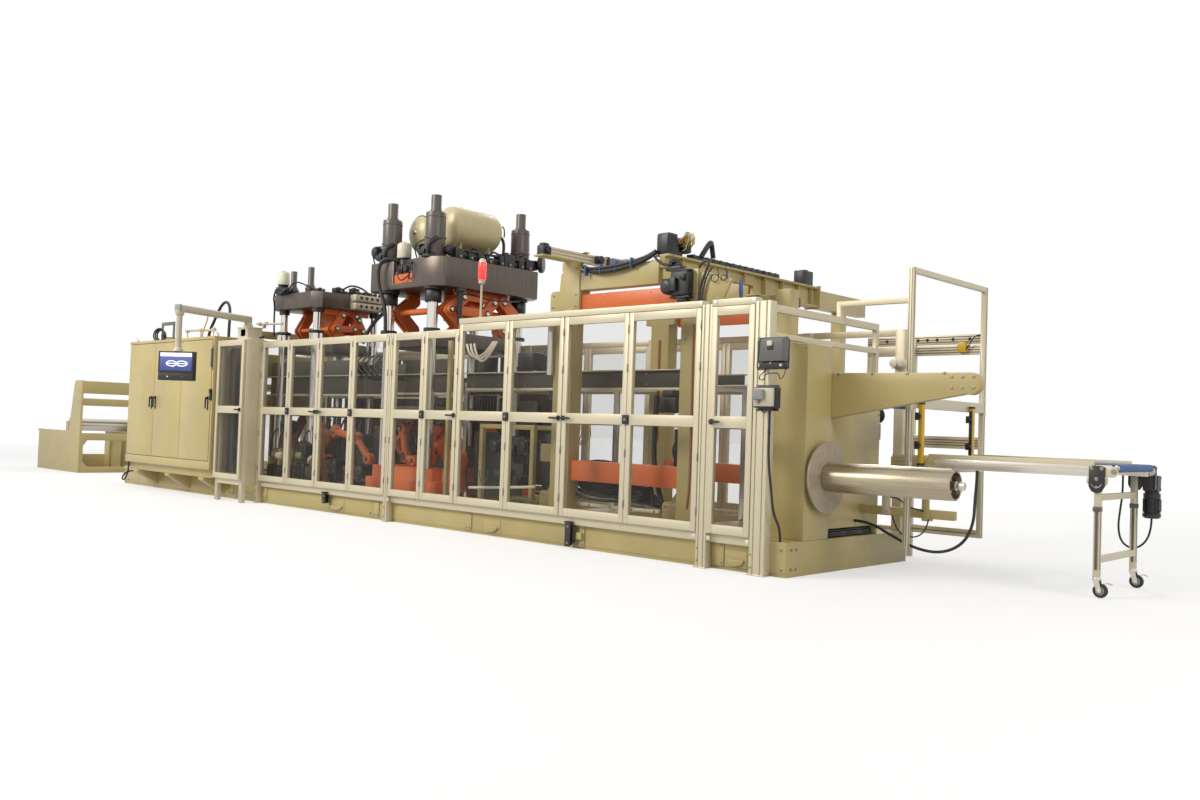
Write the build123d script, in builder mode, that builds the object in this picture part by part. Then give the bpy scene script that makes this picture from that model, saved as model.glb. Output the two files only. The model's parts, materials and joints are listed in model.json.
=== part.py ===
from build123d import *
from math import pi, radians, tan
import os

os.makedirs("parts", exist_ok=True)

# Inline sheet thermoforming machine. Millimetres, X along the line towards the discharge end,
# Y to the rear, Z up, origin on the floor at the centre of the machine base.

# Machine base
base_length = 12200
base_width = 1950
base_height = 270
base_wall = 150
base_bays = [(-5000, -4100), (-3900, -3000), (-1300, -100), (1500, 3050), (3550, 4700)]
half_length = base_length / 2
half_width = base_width / 2

# Guard enclosure
profile = 45
stile = 52
end_rail = 72
mid_rail_depth = 94
post_depth = 90
leaf_thickness = 40
pane_thickness = 6
slot_width = 10
slot_depth = 9
guard_front = -half_width - post_depth
guard_rear = half_width + post_depth
door_bottom = 290
low_top = 2060
high_top = 2115
step_x = 2150
mid_rail = 1185
door_edges = [(-1814, -469), (-469, 947), (1014, 2156), (2156, 3689), (3689, 5289)]
end_door_span = (5397, 5814)
rear_posts = [-6055, -4200, -1850, 980, 3000, 5000, 5990]

# Control cabinet
cabinet_left = -5250
cabinet_right = -2600
cabinet_front = -1325
cabinet_depth = 600
cabinet_bottom = 380
cabinet_top = 2150
cabinet_edges = [-5230, -4360, -3520, -2650]
sheet = 20

# Doorway bay beside the cabinet
bay_left = -2560
bay_right = -1860
bay_front = -1255

# Operator panel arm
arm_foot = (-2010, -1175)
elbow = (-1494, -2315)
arm_height = 2350

# Presses
first_press_x = -1980
form_press_x = 735
first_crown = (2560, 2770)
form_crown = (2620, 2950)
tie_bar_radius = 60
first_bars = [(first_press_x + sx * 410, sy * 445) for sx in (-1, 1) for sy in (-1, 1)]
form_bars = [(form_press_x + sx * 410, sy * 640) for sx in (-1, 1) for sy in (-1, 1)]
sheet_line = 1560
chain_rail_y = 370

# Stacking station
stack_left = 3205
stack_right = 4850
gantry_x = 4590
gantry_top = 2665

# Winder
winder_y = -490
winder_z = 770
mandrel_radius = 112
mandrel_start = 6160
mandrel_end = 7223

# Discharge gate and conveyor
gate_x = 6590
gate_left = -20
gate_right = 1415
gate_bottom = 230
gate_top = 2490
conveyor_start = 6350
conveyor_end = 8130
conveyor_front = 175
conveyor_rear = 1045
conveyor_top = 950
leg_x = 7985
caster_radius = 52
caster_trail = 28

# Unwind stand
unwind_left = -10950
unwind_right = -8950
unwind_half = 620
unwind_height = 710
tower_top = 1650
roll_x = -9560
roll_z = 850
roll_radius = 130


def block(x, y, z, mode=Mode.ADD):
    """Add a box between two limits on each axis to the part being built."""
    with Locations(((x[0] + x[1]) / 2, (y[0] + y[1]) / 2, (z[0] + z[1]) / 2)):
        Box(x[1] - x[0], y[1] - y[0], z[1] - z[0], mode=mode)


def rod(start, axis, radius, length, mode=Mode.ADD):
    """Add a round bar that starts at a point and runs along an axis."""
    with BuildSketch(Plane(start, z_dir=axis)) as section:
        Circle(radius)
    extrude(section.sketch, amount=length, mode=mode)


def turned(base, steps):
    """Add an upright turned piece from (radius, height) steps above its base point."""
    with BuildSketch(Plane(base, x_dir=(1, 0, 0), z_dir=(0, -1, 0))) as half_section:
        with BuildLine():
            Polyline((0, steps[0][1]), *steps, (0, steps[-1][1]), close=True)
        make_face()
    revolve(half_section.sketch, axis=Axis(base, (0, 0, 1)))


def plate_x(points, x, thickness, mode=Mode.ADD):
    """Add a plate square to the line from its outline in (y, z)."""
    with BuildSketch(Plane.YZ.offset(x)) as outline:
        with BuildLine():
            Polyline(*points, close=True)
        make_face()
    extrude(outline.sketch, amount=thickness, mode=mode)


def plate_y(points, y, thickness, mode=Mode.ADD):
    """Add a plate along the line from its outline in (x, z), thickened to the rear."""
    with BuildSketch(Plane.XZ.offset(-y)) as outline:
        with BuildLine():
            Polyline(*points, close=True)
        make_face()
    extrude(outline.sketch, amount=-thickness, mode=mode)


def post(x, y, z, slots=1):
    """Add an upright profile post with sliding-nut slots down its outer face."""
    with BuildSketch(Plane.XY.offset(z[0])) as section:
        with Locations(((x[0] + x[1]) / 2, (y[0] + y[1]) / 2)):
            Rectangle(x[1] - x[0], y[1] - y[0])
        pitch = (x[1] - x[0]) / slots
        for index in range(slots):
            with Locations((x[0] + pitch * (index + 0.5), y[0] + slot_depth / 2)):
                Rectangle(slot_width, slot_depth, mode=Mode.SUBTRACT)
    extrude(section.sketch, amount=z[1] - z[0])


def window_levels(z):
    """The heights between which a leaf is open, above and below its middle rail."""
    return [(z[0] + end_rail, mid_rail - mid_rail_depth / 2), (mid_rail + mid_rail_depth / 2, z[1] - end_rail)]


def leaf(x, z, front):
    """Add a framed leaf of profile bars, open in two windows."""
    with BuildSketch(Plane.XZ.offset(-front)) as frame:
        with Locations(((x[0] + x[1]) / 2, (z[0] + z[1]) / 2)):
            Rectangle(x[1] - x[0], z[1] - z[0])
        for low, high in window_levels(z):
            with Locations(((x[0] + x[1]) / 2, (low + high) / 2)):
                Rectangle(x[1] - x[0] - 2 * stile, high - low, mode=Mode.SUBTRACT)
    extrude(frame.sketch, amount=-leaf_thickness)


def panes(x, z, front):
    """Add the clear panels that fill the windows of a leaf."""
    middle = front + leaf_thickness / 2
    depth = (middle - pane_thickness / 2, middle + pane_thickness / 2)
    for low, high in window_levels(z):
        block((x[0] + stile, x[1] - stile), depth, (low, high))


def lever(x, z, face, reach):
    """Add a small bent lever handle that stands off a leaf."""
    block((x - 11, x + 11), (face - 26, face), (z - 22, z + 22))
    block((min(x, x + reach), max(x, x + reach)), (face - 40, face - 26), (z - 9, z + 9))


front_leaves = []
for left, right in door_edges:
    fold = (left + right) / 2
    height = (door_bottom, low_top if right < step_x + 20 else high_top)
    front_leaves += [((left + 6, fold - 3), height), ((fold + 3, right - 6), height)]
rear_leaves = []
for left, right in zip(rear_posts[:-1], rear_posts[1:-1]):
    middle = (left + right) / 2
    rear_leaves += [((left + 49, middle - 3), (304, 2036)), ((middle + 3, right - 49), (304, 2036))]
rear_face = guard_rear - leaf_thickness - 20

# Machine base: a welded box frame on the floor, open between its cross members
with BuildPart() as machine_base:
    with BuildSketch() as base_plan:
        Rectangle(base_length, base_width)
        for start, end in base_bays:
            with Locations(((start + end) / 2, 0)):
                Rectangle(end - start, base_width - 2 * base_wall, mode=Mode.SUBTRACT)
    extrude(amount=base_height)
    # Shallow ledges along the foot and the joints between its bolted sections
    block((-half_length, half_length), (-half_width, -half_width + 8), (0, 30), Mode.SUBTRACT)
    for joint in (-3100, 650, 3760):
        block((joint - 6, joint + 6), (-half_width, -half_width + 14), (0, base_height), Mode.SUBTRACT)
    # Deck under the winder
    block((5080, half_length), (-half_width, half_width), (base_height - 30, base_height))
    # Triangular shelves that carry the cabinet in front of the base
    for centre in (-4950, -3920, -2900):
        with BuildSketch(Plane.YZ.offset(centre - 70)) as shelf:
            with BuildLine():
                Polyline((-half_width, 60), (-half_width, base_height), (-1290, base_height), (-1290, 240), close=True)
            make_face()
        extrude(shelf.sketch, amount=140)
machine_base.part.label = "machine_base"
export_step(machine_base.part, "parts/machine_base.step")

# Guard posts: slotted aluminium profiles, the front ones standing on the floor
with BuildPart() as guard_posts:
    depth = (guard_front, guard_front + post_depth)
    post((-1857, -1820), depth, (0, 2070))
    post((951, 1010), depth, (0, 2070))
    post((5293, 5393), depth, (0, 2140), 2)
    post((5820, 5958), depth, (0, 2140), 2)
    for centre in rear_posts:
        block((centre - 45, centre + 45), (guard_rear - post_depth, guard_rear), (0, 2100))
guard_posts.part.label = "guard_posts"
export_step(guard_posts.part, "parts/guard_posts.step")

# Guard rails: head beams above the doors and sills below them
with BuildPart() as guard_rails:
    behind = (guard_front + leaf_thickness + 3, guard_front + post_depth)
    beam = (guard_front, guard_front + post_depth)
    block((-1820, 951), behind, (2010, 2075))
    block((1010, step_x), behind, (2010, 2075))
    block((step_x, 5293), beam, (high_top + 5, 2175))
    block((5393, 5820), beam, (high_top + 5, 2175))
    for span in ((-1820, 951), (1010, 5293), (5393, 5820)):
        block(span, behind, (215, door_bottom - 3))
    for left, right in zip(rear_posts, rear_posts[1:]):
        block((left + 45, right - 45), (guard_rear - 65, guard_rear - 20), (2040, 2100))
        block((left + 45, right - 45), (guard_rear - 65, guard_rear - 20), (240, 300))
guard_rails.part.label = "guard_rails"
export_step(guard_rails.part, "parts/guard_rails.step")

# Folding doors along the front: five pairs of framed leaves
with BuildPart() as folding_door_frames:
    for span, height in front_leaves:
        leaf(span, height, guard_front)
folding_door_frames.part.label = "folding_door_frames"
export_step(folding_door_frames.part, "parts/folding_door_frames.step")

# Rear guard frames, between the rear posts
with BuildPart() as rear_guard_frames:
    for span, height in rear_leaves:
        leaf(span, height, rear_face)
rear_guard_frames.part.label = "rear_guard_frames"
export_step(rear_guard_frames.part, "parts/rear_guard_frames.step")

# Clear panels of the folding doors and the rear guard
with BuildPart() as guard_panes:
    for span, height in front_leaves:
        panes(span, height, guard_front)
    for span, height in rear_leaves:
        panes(span, height, rear_face)
guard_panes.part.label = "guard_panes"
export_step(guard_panes.part, "parts/guard_panes.step")

# Latches on the folds and levers on the leading edges of the folding doors
with BuildPart() as door_latches:
    for index, (left, right) in enumerate(door_edges):
        fold = (left + right) / 2
        block((fold - 32, fold + 32), (guard_front - 22, guard_front), (mid_rail - 42, mid_rail + 42))
        if index in (0, 2, 3):
            lever(right - 30, mid_rail, guard_front, -110)
        else:
            lever(left + 30, mid_rail, guard_front, 110)
door_latches.part.label = "door_latches"
export_step(door_latches.part, "parts/door_latches.step")

# Bay guard: a doorway that stands in front of the guard line beside the cabinet,
# with the foot of the operator panel arm on its head
with BuildPart() as bay_guard:
    jamb = (bay_front, bay_front + 60)
    post((bay_left, bay_left + 60), jamb, (0, 2090))
    post((bay_right - 60, bay_right), jamb, (0, 2090))
    block((bay_left + 60, bay_right - 60), jamb, (2030, 2090))
    block((bay_left + 60, bay_right - 60), jamb, (225, 285))
    block((bay_right - 40, bay_right), (bay_front + 60, guard_front + post_depth), (225, 2090))
    block((bay_left, bay_left + 40), (bay_front + 60, -half_width), (225, 2090))
    block((-2160, bay_right), (bay_front + 40, guard_front + 40), (2090, 2110))
    block((-2150, bay_right - 40), (bay_front + 20, bay_front + 40), (2090, 2235))
    block((-2150, -2130), (bay_front + 40, guard_front + 30), (2110, 2235))
    block((-1920, bay_right - 40), (bay_front + 40, guard_front + 30), (2110, 2235))
    block((-2160, bay_right - 30), (bay_front + 10, guard_front + 40), (2235, 2250))
bay_guard.part.label = "bay_guard"
export_step(bay_guard.part, "parts/bay_guard.step")

# Bay door: one framed leaf hinged at its left edge
bay_door_span = (bay_left + 5, bay_right - 5)
bay_door_face = bay_front - leaf_thickness - 1
with BuildPart() as bay_door:
    leaf(bay_door_span, (door_bottom, 2080), bay_door_face)
    panes(bay_door_span, (door_bottom, 2080), bay_door_face)
    lever(bay_door_span[1] - 30, mid_rail, bay_door_face, -100)
bay_door.part.label = "bay_door"
export_step(bay_door.part, "parts/bay_door.step")

# End door: one framed leaf hinged at the corner post
end_door_face = guard_front - 6
with BuildPart() as end_door:
    leaf(end_door_span, (door_bottom, high_top), end_door_face)
    panes(end_door_span, (door_bottom, high_top), end_door_face)
    lever(end_door_span[0] + 30, mid_rail, end_door_face, 100)
end_door.part.label = "end_door"
export_step(end_door.part, "parts/end_door.step")

# Control cabinet: a sheet-metal box open behind its doors, with a hood, a plinth and a cut-back side
cabinet_face = cabinet_front + 28
cabinet_rear = cabinet_front + cabinet_depth
with BuildPart() as control_cabinet:
    block((cabinet_left, cabinet_right), (cabinet_face, cabinet_rear), (cabinet_bottom, cabinet_top))
    block((cabinet_left + sheet, cabinet_right - 50), (cabinet_face, cabinet_rear - sheet),
          (cabinet_bottom + 130, cabinet_top - 70), Mode.SUBTRACT)
    # Recessed underside and the feet that bring its load to the base
    block((cabinet_left + 40, cabinet_right - 40), (cabinet_face + 40, cabinet_rear - 40),
          (base_height, cabinet_bottom))
    # Rain lip along the top edge
    block((cabinet_left, cabinet_right), (cabinet_front, cabinet_face), (cabinet_top - 40, cabinet_top))
    block((cabinet_left, cabinet_right), (cabinet_front, cabinet_face), (cabinet_bottom, cabinet_bottom + 110))
    block((cabinet_right - 36, cabinet_right), (cabinet_front, cabinet_face), (cabinet_bottom + 110, cabinet_top - 40))
control_cabinet.part.label = "control_cabinet"
export_step(control_cabinet.part, "parts/control_cabinet.step")

# Cabinet doors: folded sheet doors, each with a swing handle on its free edge
door_height = (cabinet_bottom + 116, cabinet_top - 46)
for name, left, right, grip in (("cabinet_door_left", cabinet_edges[0], cabinet_edges[1], 1),
                                ("cabinet_door_middle", cabinet_edges[1], cabinet_edges[2], -1),
                                ("cabinet_door_right", cabinet_edges[2], cabinet_edges[3], 1)):
    handle_x = right - 60 if grip > 0 else left + 60
    with BuildPart() as cabinet_door:
        with BuildSketch(Plane.XZ.offset(-cabinet_front)) as door_face:
            with Locations(((left + right) / 2, (door_height[0] + door_height[1]) / 2)):
                Rectangle(right - left - 8, door_height[1] - door_height[0])
        extrude(door_face.sketch, amount=-26)
        chamfer(cabinet_door.faces().sort_by(Axis.Y)[0].edges(), 5)
        block((handle_x - 17, handle_x + 17), (cabinet_front - 10, cabinet_front), (1170, 1350))
        plate_x([(cabinet_front - 10, 1345), (cabinet_front - 44, 1330), (cabinet_front - 44, 1190),
                 (cabinet_front - 34, 1180), (cabinet_front - 34, 1305), (cabinet_front - 10, 1310)],
                handle_x - 11, 22)
    cabinet_door.part.label = name
    export_step(cabinet_door.part, f"parts/{name}.step")

# Operator panel arm: a swivel foot, a level box tube and the elbow that carries the panel
reach = ((elbow[0] - arm_foot[0]) ** 2 + (elbow[1] - arm_foot[1]) ** 2) ** 0.5
along = ((elbow[0] - arm_foot[0]) / reach, (elbow[1] - arm_foot[1]) / reach, 0)
with BuildPart() as hmi_arm:
    turned((arm_foot[0], arm_foot[1], 2250.3), [(62, 0), (62, 26), (48, 40), (48, 62)])
    with BuildSketch(Plane((arm_foot[0], arm_foot[1], arm_height), z_dir=along)) as tube:
        Rectangle(84, 84)
        chamfer(tube.vertices(), 16)
    extrude(tube.sketch, amount=reach + 42)
    extrude(tube.sketch, amount=-42)
    turned((elbow[0], elbow[1], arm_height - 88), [(40, 0), (50, 12), (50, 60)])
hmi_arm.part.label = "hmi_arm"
export_step(hmi_arm.part, "parts/hmi_arm.step")

# Operator panel: a drop tube, a flat screen housing and the key strip below it
panel_plane = Plane((elbow[0], elbow[1], 1495), x_dir=(0.82, 0.57, 0), z_dir=(0, 0, 1))
with BuildPart() as hmi_panel:
    rod((elbow[0], elbow[1], 1850), (0, 0, 1), 34, arm_height - 88.3 - 1850)
    turned((elbow[0], elbow[1], 1835), [(56, 0), (56, 26), (38, 50)])
    with BuildSketch(panel_plane) as housing:
        Rectangle(445, 72)
        chamfer(housing.vertices().group_by(Axis.Y)[-1], 8)
    extrude(housing.sketch, amount=342)
hmi_panel.part.label = "hmi_panel"
export_step(hmi_panel.part, "parts/hmi_panel.step")

# Sheet heater: a long low housing over and under the sheet, between the cabinet and the rear guard
with BuildPart() as sheet_heater:
    for z in ((1700, 1980), (1180, 1420)):
        block((-5700, -2900), (-420, 420), z)
    for x in (-5600, -2950):
        for y in (-620, 620):
            block((x - 50, x + 50), (y - 50, y + 50), (base_height, 2300))
        block((x - 50, x + 50), (-570, 570), (2200, 2300))
        block((x - 40, x + 40), (-60, 60), (1980, 2200))
        for side in (-1, 1):
            block((x - 50, x + 50), sorted((side * 420, side * 570)), (1260, 1340))
sheet_heater.part.label = "sheet_heater"
export_step(sheet_heater.part, "parts/sheet_heater.step")


def crown(points, z):
    """Add a press crown from its outline in plan."""
    with BuildSketch(Plane.XY.offset(z[0])) as plan:
        with BuildLine():
            Polyline(*points, close=True)
        make_face()
    extrude(plan.sketch, amount=z[1] - z[0])


def platen(centre, length, half, z, corner):
    """Add a press plate with its upright corners cut back."""
    with BuildSketch(Plane.XY.offset(z[0])) as plan:
        with Locations((centre, 0)):
            Rectangle(length, 2 * half)
        chamfer(plan.vertices(), corner)
    extrude(plan.sketch, amount=z[1] - z[0])


# First press: crown, upper and lower moving platens inside the tie bars, and the bed
with BuildPart() as first_press_platens:
    crown([(-2509, -535), (-1586, -535), (-1460, -440), (-1460, 440), (-1586, 535), (-2509, 535),
           (-2600, 440), (-2600, -440)], first_crown)
    platen(first_press_x, 1000, 480, (1980, 2110), 240)
    platen(first_press_x, 1000, 480, (1130, 1260), 240)
    platen(first_press_x, 1040, 560, (base_height, 480), 60)
first_press_platens.part.label = "first_press_platens"
export_step(first_press_platens.part, "parts/first_press_platens.step")

# Forming press: the crown has a pocket in its front for the oil pump
with BuildPart() as forming_press_platens:
    crown([(90, -755), (1242, -755), (1390, -664), (1390, 724), (1242, 815), (90, 815),
           (-30, 724), (-30, -664)], form_crown)
    block((530, 890), (-755, -560), (2684, form_crown[1]), Mode.SUBTRACT)
    platen(form_press_x, 1160, 690, (1960, 2120), 330)
    platen(form_press_x, 1160, 690, (1120, 1280), 330)
forming_press_platens.part.label = "forming_press_platens"
export_step(forming_press_platens.part, "parts/forming_press_platens.step")

# Tie bars: polished columns with split nuts under the crowns
with BuildPart() as press_tie_bars:
    for x, y in first_bars:
        turned((x, y, 480), [(tie_bar_radius, 0), (tie_bar_radius, 1800), (48, 1800), (48, first_crown[0] - 480)])
    for x, y in form_bars:
        turned((x, y, 590), [(tie_bar_radius, 0), (tie_bar_radius, form_crown[0] - 590)])
        with BuildSketch(Plane.XY.offset(2455)) as nut:
            with Locations((x, y)):
                RegularPolygon(96, 8)
        extrude(nut.sketch, amount=form_crown[0] - 2455)
press_tie_bars.part.label = "press_tie_bars"
export_step(press_tie_bars.part, "parts/press_tie_bars.step")


def link(a, b, x, width, radius):
    """Add a toggle link with round ends in a plane square to the line, from its pin centres in (y, z)."""
    length = ((b[0] - a[0]) ** 2 + (b[1] - a[1]) ** 2) ** 0.5
    direction = (0, (b[0] - a[0]) / length, (b[1] - a[1]) / length)
    with BuildSketch(Plane((x, (a[0] + b[0]) / 2, (a[1] + b[1]) / 2), x_dir=direction, z_dir=(1, 0, 0))) as side:
        SlotCenterToCenter(length, 2 * radius)
    extrude(side.sketch, amount=width)


def plain_link(a, b, x, width, radius):
    """Add a lighter link with square ends, for the toggles below the sheet."""
    length = ((b[0] - a[0]) ** 2 + (b[1] - a[1]) ** 2) ** 0.5
    direction = (0, (b[0] - a[0]) / length, (b[1] - a[1]) / length)
    with BuildSketch(Plane((x, (a[0] + b[0]) / 2, (a[1] + b[1]) / 2), x_dir=direction, z_dir=(1, 0, 0))) as side:
        Rectangle(length + 2 * radius, 2 * radius)
        chamfer(side.vertices(), radius / 2)
    extrude(side.sketch, amount=width)


def upper_toggle(centre, spread, crown_pin, knee, low_pin, radius):
    """Add one press's upper toggles: lugs, four pairs of links, knee shafts and the drive links."""
    for side in (-1, 1):
        for x in (centre - spread, centre + spread):
            for pin, seat, toward in ((crown_pin, crown_pin[1] + radius + 16, 1), (low_pin, low_pin[1] - radius - 12, -1)):
                plate_x([(side * (pin[0] - radius - 30), seat), (side * (pin[0] + radius + 30), seat),
                         (side * (pin[0] + radius * 0.7), pin[1] - toward * radius * 0.6),
                         (side * (pin[0] - radius * 0.7), pin[1] - toward * radius * 0.6)], x + 2, 46)
            for near in (x - 42, x + 48):
                link((side * crown_pin[0], crown_pin[1]), (side * knee[0], knee[1]), near, 44, radius)
                link((side * knee[0], knee[1]), (side * low_pin[0], low_pin[1]), near, 44, radius)
            block((x + 2, x + 48), sorted((side * (knee[0] - 20), side * (knee[0] + 20))), (knee[1] - 20, knee[1] + 20))
        rod((centre - spread - 50, side * knee[0], knee[1]), (1, 0, 0), radius * 0.55, 2 * spread + 150)
        link((side * knee[0], knee[1]), (side * 40, knee[1]), centre + spread - 90, 40, radius * 0.8)
    block((centre - 90, centre + spread - 50), (-95, 95), (knee[1] - 60, crown_pin[1] + radius + 16))


def drive_crank(hub, pin, knee, x, radius):
    """Add the crank that works the toggles, on its hub, and the rod from its pin to a knee."""
    link(hub, pin, x, 44, radius)
    link(pin, knee, x + 44, 36, radius * 0.85)
    rod((x - 60, hub[0], hub[1]), (1, 0, 0), radius * 0.6, 60)


# Toggles of the first press, above and below the sheet
with BuildPart() as first_press_toggles:
    upper_toggle(first_press_x, 400, (103, first_crown[0] - 71), (214, 2300), (103, 2177), 55)
    drive_crank((150, 2440), (60, 2310), (-214, 2300), -1532, 50)
    block((-1590, -1535), (-330, 330), (2490, first_crown[0]))
    for side in (-1, 1):
        for x in (first_press_x - 330, first_press_x + 270):
            plain_link((side * 180, 1062), (side * 300, 805), x, 60, 55)
            plain_link((side * 300, 805), (side * 180, 548), x, 60, 55)
            for z in ((1062, 1130), (480, 548)):
                block((x, x + 60), sorted((side * 150, side * 210)), z)
first_press_toggles.part.label = "first_press_toggles"
export_step(first_press_toggles.part, "parts/first_press_toggles.step")

# Toggles of the forming press, with the stepped orange bed that the lower ones stand on
with BuildPart() as forming_press_toggles:
    upper_toggle(form_press_x, 455, (300, form_crown[0] - 84), (500, 2378), (300, 2200), 68)
    drive_crank((150, 2520), (12, 2372), (-500, 2378), 1238, 60)
    block((1170, 1236), (-330, 330), (2508, form_crown[0]))
    for side in (-1, 1):
        for x in (form_press_x - 430, form_press_x + 350):
            plain_link((side * 260, 1040), (side * 440, 850), x, 80, 65)
            plain_link((side * 440, 850), (side * 260, 650), x, 80, 65)
            block((x, x + 80), sorted((side * 220, side * 300)), (1040, 1120))
    platen(form_press_x, 1310, 740, (base_height, 450), 40)
    platen(form_press_x, 1120, 715, (450, 590), 40)
    block((540, 880), (-740, -570), (2684, 2790))
forming_press_toggles.part.label = "forming_press_toggles"
export_step(forming_press_toggles.part, "parts/forming_press_toggles.step")

# Lift cylinders on the crowns
with BuildPart() as press_cylinders:
    for x, y in form_bars:
        turned((x, y, form_crown[1]), [(113, 0), (113, 505), (60, 512), (60, 705)])
    for x, top in ((-2430, 350), (-1990, 374)):
        turned((x, -300, first_crown[1]), [(62, 0), (78, 80), (42, 150), (42, top)])
press_cylinders.part.label = "press_cylinders"
export_step(press_cylinders.part, "parts/press_cylinders.step")

# Air tanks: domed pressure vessels lying across the line on saddles
with BuildPart() as air_tanks:
    for x, middle, size in ((455, 3345, 0.87), (1000, 3372, 0.96)):
        with BuildSketch(Plane.YZ.offset(x)) as tank_half:
            with BuildLine():
                Polyline(*[(y, middle + height * size) for y, height in
                           ((-420, 0), (-415, 80), (-375, 175), (-290, 240), (215, 240), (300, 175), (340, 80), (345, 0))],
                         close=True)
            make_face()
        revolve(tank_half.sketch, axis=Axis((x, 0, middle), (0, 1, 0)))
        for y in (-260, 160):
            plate_x([(y, 2990), (y + 50, 2990), (y + 50, 3200), (y, 3200)], x - 130, 260)
    for y in (-270, 150):
        block((180, 1280), (y, y + 70), (form_crown[1], 2990))
air_tanks.part.label = "air_tanks"
export_step(air_tanks.part, "parts/air_tanks.step")

# Oil units: a white reservoir above a black pump, one on each crown
with BuildPart() as oil_reservoirs:
    turned((600, -660, 2985), [(82, 0), (82, 165), (60, 180)])
    turned((-2330, -515, 2900), [(80, 0), (80, 165), (60, 180)])
oil_reservoirs.part.label = "oil_reservoirs"
export_step(oil_reservoirs.part, "parts/oil_reservoirs.step")

# Oil pumps under the reservoirs, and the valve manifold on the discharge side of the first crown
with BuildPart() as crown_hydraulics:
    block((550, 860), (-735, -575), (2790, 2900))
    block((550, 680), (-730, -590), (2900, 2985))
    block((-2400, -2260), (-585, -445), (first_crown[1], 2870))
    block((-2370, -2290), (-555, -475), (2870, 2900))
    block((-2260, -2150), (-565, -465), (first_crown[1], 2850))
    for z in ((2575, 2660), (2685, 2770)):
        block((-1460, -1330), (-20, 520), z)
    block((-1460, -1430), (-20, 520), (2660, 2685))
    # Sprung guide rod under the forming crown
    turned((1358, -428, 2210), [(24, 0), (26, 40), (37, 368), (66, 370), (66, form_crown[0] - 2210)])
crown_hydraulics.part.label = "crown_hydraulics"
export_step(crown_hydraulics.part, "parts/crown_hydraulics.step")

# Chain rails: two long rails that carry the sheet through the machine
with BuildPart() as chain_rails:
    for side in (-1, 1):
        inner = side * chain_rail_y
        with BuildSketch(Plane.YZ.offset(-5850)) as rail_section:
            with Locations((inner - side * 20, sheet_line - 35)):
                Rectangle(40, 70)
            with Locations((inner - side * 45, sheet_line - 10)):
                Rectangle(12, 20)
        extrude(rail_section.sketch, amount=10650)
        y = sorted((side * (chain_rail_y - 40), side * chain_rail_y))
        for x in (-5800, -2780, -1400, -50, 1450, 3085, 4740):
            block((x - 30, x + 30), y, (base_height, sheet_line - 70))
        for x in (-4900, -3700):
            block((x - 30, x + 30), y, (1420, sheet_line - 70))
chain_rails.part.label = "chain_rails"
export_step(chain_rails.part, "parts/chain_rails.step")

# Stacking station: cast posts with caps, joined across the top by a cast arm along the line
with BuildPart() as stacker_castings:
    for side in (-1, 1):
        y = sorted((side * 640, side * 790))
        plate_y([(stack_left, 2215), (3595, 2215), (3595, 2412), (stack_left + 30, 2412), (stack_left, 2385)], y[0], 150)
        plate_y([(3326, 2412), (3590, 2412), (3590, 2605), (3380, 2605), (3342, 2575)], y[0], 150)
        block((3280, 3520), y, (base_height, 2215))
        block((stack_right, 5018), y, (base_height, 2500))
        end = 4560 if side < 0 else 4514
        plate_y([(3590, 2405), (end, 2405), (end, 2620), (3590, 2566)], -775 if side < 0 else 655, 120)
    plate_y([(5018, 2187), (5248, 2187), (5345, 2379), (5345, 2385), (5080, 2470), (5018, 2470)], -760, 30)
    # Stem and shelf of the linear drive
    block((3345, 3495), (-780, -650), (2605, 2690))
    block((3370, 3500), (-1190, -640), (2690, 2706))
stacker_castings.part.label = "stacker_castings"
export_step(stacker_castings.part, "parts/stacker_castings.step")

# Orange tie beams of the stacking station
with BuildPart() as stacker_beams:
    for side in (-1, 1):
        block((3595, stack_right), sorted((side * 700, side * 760)), (2191, 2366))
        block((3520, stack_right), sorted((side * 650, side * 760)), (600, 790))
stacker_beams.part.label = "stacker_beams"
export_step(stacker_beams.part, "parts/stacker_beams.step")

# Gantry: a flanged beam across the line that reaches out behind the machine to its own leg
with BuildPart() as stacker_gantry:
    with BuildSketch(Plane.XZ.offset(764)) as near_section:
        with Locations((gantry_x, gantry_top - 10)):
            Rectangle(150, 20)
        with Locations((gantry_x, gantry_top - 70)):
            Rectangle(60, 100)
    extrude(near_section.sketch, amount=-1364)
    with BuildSketch(Plane.XZ.offset(-600)) as deep_section:
        with Locations((gantry_x, gantry_top - 10)):
            Rectangle(150, 20)
        with Locations((gantry_x, gantry_top - 110)):
            Rectangle(30, 190)
        with Locations((gantry_x, gantry_top - 205)):
            Rectangle(150, 16)
    extrude(deep_section.sketch, amount=-1100)
    block((gantry_x - 95, gantry_x + 95), (1700, 1715), (gantry_top - 230, gantry_top + 10))
    with BuildSketch(Plane.XZ.offset(-1715)) as far_section:
        with Locations((gantry_x, gantry_top - 125)):
            Rectangle(110, 190)
    extrude(far_section.sketch, amount=-1010)
    block((gantry_x - 60, gantry_x + 60), (2190, 2310), (0, gantry_top - 220))
    block((gantry_x - 130, gantry_x + 130), (2120, 2380), (0, 20))
    block((4560, stack_right), (-740, -680), (gantry_top - 220, gantry_top - 120))
    block((gantry_x - 75, stack_right), (680, 740), (gantry_top - 273, gantry_top - 213))
stacker_gantry.part.label = "stacker_gantry"
export_step(stacker_gantry.part, "parts/stacker_gantry.step")

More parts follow.
